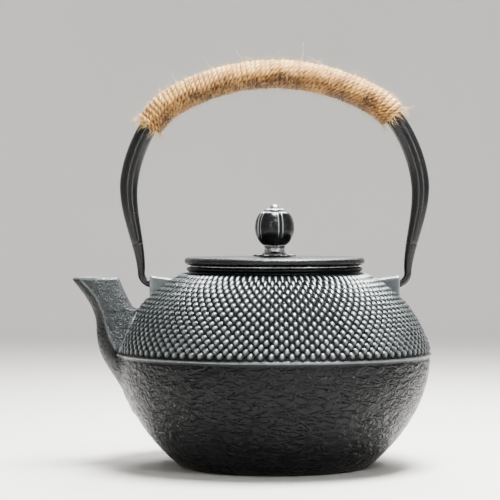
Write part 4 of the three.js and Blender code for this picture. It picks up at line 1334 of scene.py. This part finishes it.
root_caps = (cells[:, 0] + np.array([2, 1, 0])).reshape(-1, 3)
tip_caps = (cells[:, 0] + 15 + np.array([0, 1, 2])).reshape(-1, 3)
hair_mesh = make_mesh("fibres", hair_rows.reshape(-1, 3), hair_quads, root_caps, tip_caps)
add_piece("fibres", hair_mesh, "bail", ["grip_wrap"], straw)
print("loose fibres:", count)

# %% [markdown]
# ## The strainer basket
# Under the lid hangs a steel basket: a rim with a flange, a wall of woven wire, and a pressed cup
# for its floor. A sheet with holes painted by a material would be quick, but it would have no
# thickness in other views. So the wires are real: upright ones that pass in front of and behind
# each ring in turn, which is a radius plus a small alternating wave.

# %% Steel and the basket's rim
steel, tree, shader = new_material("spun steel", Metallic=1.0)
where = object_place(tree)
rings_of_spin = noise_node(tree, where, 240.0, 4.0, 0.6)
tree.links.new(
    mix_colour(tree, rings_of_spin, (0.42, 0.42, 0.43), (0.58, 0.58, 0.59)), shader.inputs["Base Color"])
tree.links.new(range_node(tree, rings_of_spin, 0.3, 0.7, 0.2, 0.34), shader.inputs["Roughness"])
add_bump(tree, shader, rings_of_spin, 0.00003)
rim_low, rim_high = node_box("basket_rim")
rim_line = rounded([
    (42.1, rim_low[2] + 3), (42.1, rim_low[2]), (42.9, rim_low[2]), (42.9, rim_high[2] - 0.8),
    (rim_high[0], rim_high[2] - 0.8), (rim_high[0], rim_high[2]),
    (42.1, rim_high[2]), (42.1, rim_low[2] + 4)], 0.35, 5)
add_piece(
    "basket_rim_steel", turned_mesh("basket_rim_steel", rim_line, 180),
    "basket", ["basket_rim"], steel)
cup_low, cup_high = node_box("basket_cup")
cup_line = rounded([
    (0, cup_low[2]), (38.4, cup_low[2]), (cup_high[0], cup_low[2] + 1.4), (cup_high[0], cup_high[2]),
    (cup_high[0] - 0.8, cup_high[2]), (cup_high[0] - 0.8, cup_low[2] + 1.6),
    (37.9, cup_low[2] + 0.8), (0, cup_low[2] + 0.8)], 0.8, 5)
add_piece(
    "basket_cup_steel", turned_mesh("basket_cup_steel", cup_line, 160),
    "basket", ["basket_cup"], steel)

# %% Weave the wall
wall_low, wall_high = node_box("basket_mesh")
UPRIGHTS, HOOPS, WIRE = 126, 25, 0.2
wall_line = np.array([(38.45, wall_low[2] + 0.3), (38.45, 57.4), (41.45, 101.4), (41.45, wall_high[2] - 0.3)])
hoop_height = np.linspace(wall_low[2] + 1.2, wall_high[2] - 1.2, HOOPS)


def wire_tubes(lines, sides, closed):
    """Thin tubes along many lines at once. A section's spokes point away from the Z axis and along
    their cross product with the line's direction."""
    ahead = np.roll(lines, -1, 1) - np.roll(lines, 1, 1) if closed else np.gradient(lines, axis=1)
    ahead /= np.linalg.norm(ahead, axis=-1, keepdims=True)
    out = lines * np.array([1, 1, 0])
    out -= (out * ahead).sum(-1, keepdims=True) * ahead
    out /= np.linalg.norm(out, axis=-1, keepdims=True)
    side = np.cross(ahead, out)
    angle = np.arange(sides)[:, None] * 2 * np.pi / sides
    return lines[:, :, None] + WIRE * (np.cos(angle) * out[:, :, None] + np.sin(angle) * side[:, :, None])


up_z = np.linspace(wall_low[2] + 0.3, wall_high[2] - 0.3, 2 * HOOPS + 1)
spread = hoop_height[1] - hoop_height[0]
up_angle = (np.arange(UPRIGHTS) + 0.5) * 2 * np.pi / UPRIGHTS
wave = np.cos(np.pi * (up_z[None, :] - hoop_height[0]) / spread + np.pi * np.arange(UPRIGHTS)[:, None])
up_r = np.interp(up_z, wall_line[:, 1], wall_line[:, 0])[None, :] + 0.17 * wave
upright_lines = np.stack(
    [up_r * np.cos(up_angle)[:, None], up_r * np.sin(up_angle)[:, None], up_z + 0 * up_r], -1)
hoop_angle = np.arange(2 * UPRIGHTS) * np.pi / UPRIGHTS
crossing_wave = -np.cos(
    np.pi * (hoop_angle[None, :] * UPRIGHTS / (2 * np.pi) - 0.5) + np.pi * np.arange(HOOPS)[:, None])
hoop_r = np.interp(hoop_height, wall_line[:, 1], wall_line[:, 0])[:, None] + 0.17 * crossing_wave
hoop_lines = np.stack(
    [hoop_r * np.cos(hoop_angle), hoop_r * np.sin(hoop_angle), hoop_height[:, None] + 0 * hoop_r], -1)
upright_tubes, hoop_tubes = wire_tubes(upright_lines, 4, False), wire_tubes(hoop_lines, 4, True)
rows_up, rows_round = len(up_z), len(hoop_angle)
up_cells = (np.arange(UPRIGHTS) * rows_up * 4)[:, None, None]
up_quads = (up_cells + grid_quads(rows_up, 4)[None]).reshape(-1, 4)
base_caps = (up_cells[:, 0] + np.array([3, 2, 1, 0])).reshape(-1, 4)
head_caps = (up_cells[:, 0] + (rows_up - 1) * 4 + np.arange(4)).reshape(-1, 4)
wire_first = UPRIGHTS * rows_up * 4
loop = grid_quads(rows_round + 1, 4)
loop = np.where(loop >= rows_round * 4, loop - rows_round * 4, loop)
hoop_quads = (wire_first + (np.arange(HOOPS) * rows_round * 4)[:, None, None] + loop[None]).reshape(-1, 4)
wires = np.vstack([upright_tubes.reshape(-1, 3), hoop_tubes.reshape(-1, 3)])
weave_mesh = make_mesh("basket_weave", wires, up_quads, base_caps, head_caps, hoop_quads)
add_piece("basket_weave", weave_mesh, "basket", ["basket_mesh"], steel)
print("basket:", UPRIGHTS, "uprights and", HOOPS, "hoops")

# %% [markdown]
# ## Floor, light and camera
# The teapot stands on plain pale paper that sweeps up all round it, so that it can be seen from
# any side. A soft light hangs almost straight above, so that every hobnail gets a bright tip and a
# dark foot. A second one behind lights the rims, two narrow ones in front draw the long streaks on
# the bail, and a small one picks out the wrinkles. Four more face away and light only the paper.

# %% Paper sweep
curve_angle = np.linspace(0, np.pi / 2, 20)[1:]
sweep_radius = np.concatenate([[60, 400, 800, 1250], 1250 + 600 * np.sin(curve_angle), [1850]])
sweep_height = np.concatenate([[0, 0, 0, 0], 600 - 600 * np.cos(curve_angle), [2400]])
sweep = place_on(sweep_radius[:, None], sweep_height[:, None], np.arange(96)[None, :] * 2 * np.pi / 96)
sweep_points = np.vstack([sweep.reshape(-1, 3), [[0, 0, 0]]])
floor_mesh = make_mesh(
    "floor", sweep_points, grid_quads(len(sweep_radius), 96),
    fan(np.arange(96), len(sweep_points) - 1, False))
floor = place_object("floor", floor_mesh)
paper, tree, shader = new_material("pale paper", Roughness=0.9)
tone = noise_node(tree, object_place(tree), 3.0, 2.0)
tree.links.new(mix_colour(tree, tone, (0.6, 0.59, 0.57), (0.64, 0.63, 0.61)), shader.inputs["Base Color"])
floor_mesh.materials.append(paper)
floor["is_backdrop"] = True


# %% Lights
def soft_light(name, place, aim, size, power):
    """An oblong area light at a place in metres, turned so that it shines at another."""
    lamp = bpy.data.lights.new(name, "AREA")
    lamp.shape, lamp.size, lamp.size_y = "RECTANGLE", size[0], size[1]
    lamp.energy = power
    light = place_object(name, lamp)
    light.location = place
    light.rotation_euler = (Vector(aim) - Vector(place)).to_track_quat("-Z", "Y").to_euler()


soft_light("above", (0.12, -0.06, 0.75), (0, 0, 0.08), (0.42, 0.26), 23.0)
soft_light("rim", (0.1, 0.5, 0.6), (0, 0, 0.1), (0.5, 0.2), 7.0)
soft_light("left strip", (-0.3, -0.9, 0.3), (0, 0, 0.12), (0.04, 0.6), 1.3)
soft_light("right strip", (0.62, -0.62, 0.3), (0, 0, 0.12), (0.04, 0.6), 1.6)
soft_light("front", (0.3, -0.8, 0.6), (0, 0, 0.06), (0.1, 0.1), 2.2)
for name, x, y, power in (
    ("back", 0, 1, 9.0), ("front", 0, -1, 5.0), ("left", -1, 0, 5.0), ("right", 1, 0, 5.0)):
    soft_light(name + " of the paper", (0.75 * x, 0.75 * y, 1.5), (1.8 * x, 1.8 * y, 0.5), (1.6, 0.3), power)
world = bpy.data.worlds.new("room")
bpy.context.scene.world = world
world.use_nodes = True
world.node_tree.nodes["Background"].inputs["Color"].default_value = (0.88, 0.92, 1.0, 1.0)
world.node_tree.nodes["Background"].inputs["Strength"].default_value = 0.1
bpy.context.scene.view_settings.look = "AgX - Medium High Contrast"

# %% Camera
lens = bpy.data.cameras.new("camera")
lens.lens, lens.sensor_width = 151.2, 36.0
camera = place_object("camera", lens)
camera.location = (-0.0135, -1.155, 0.137)
camera.rotation_euler = (np.radians(90 - 0.912), 0, 0)
bpy.context.scene.camera = camera

# %% Sizes and finish
low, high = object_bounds()
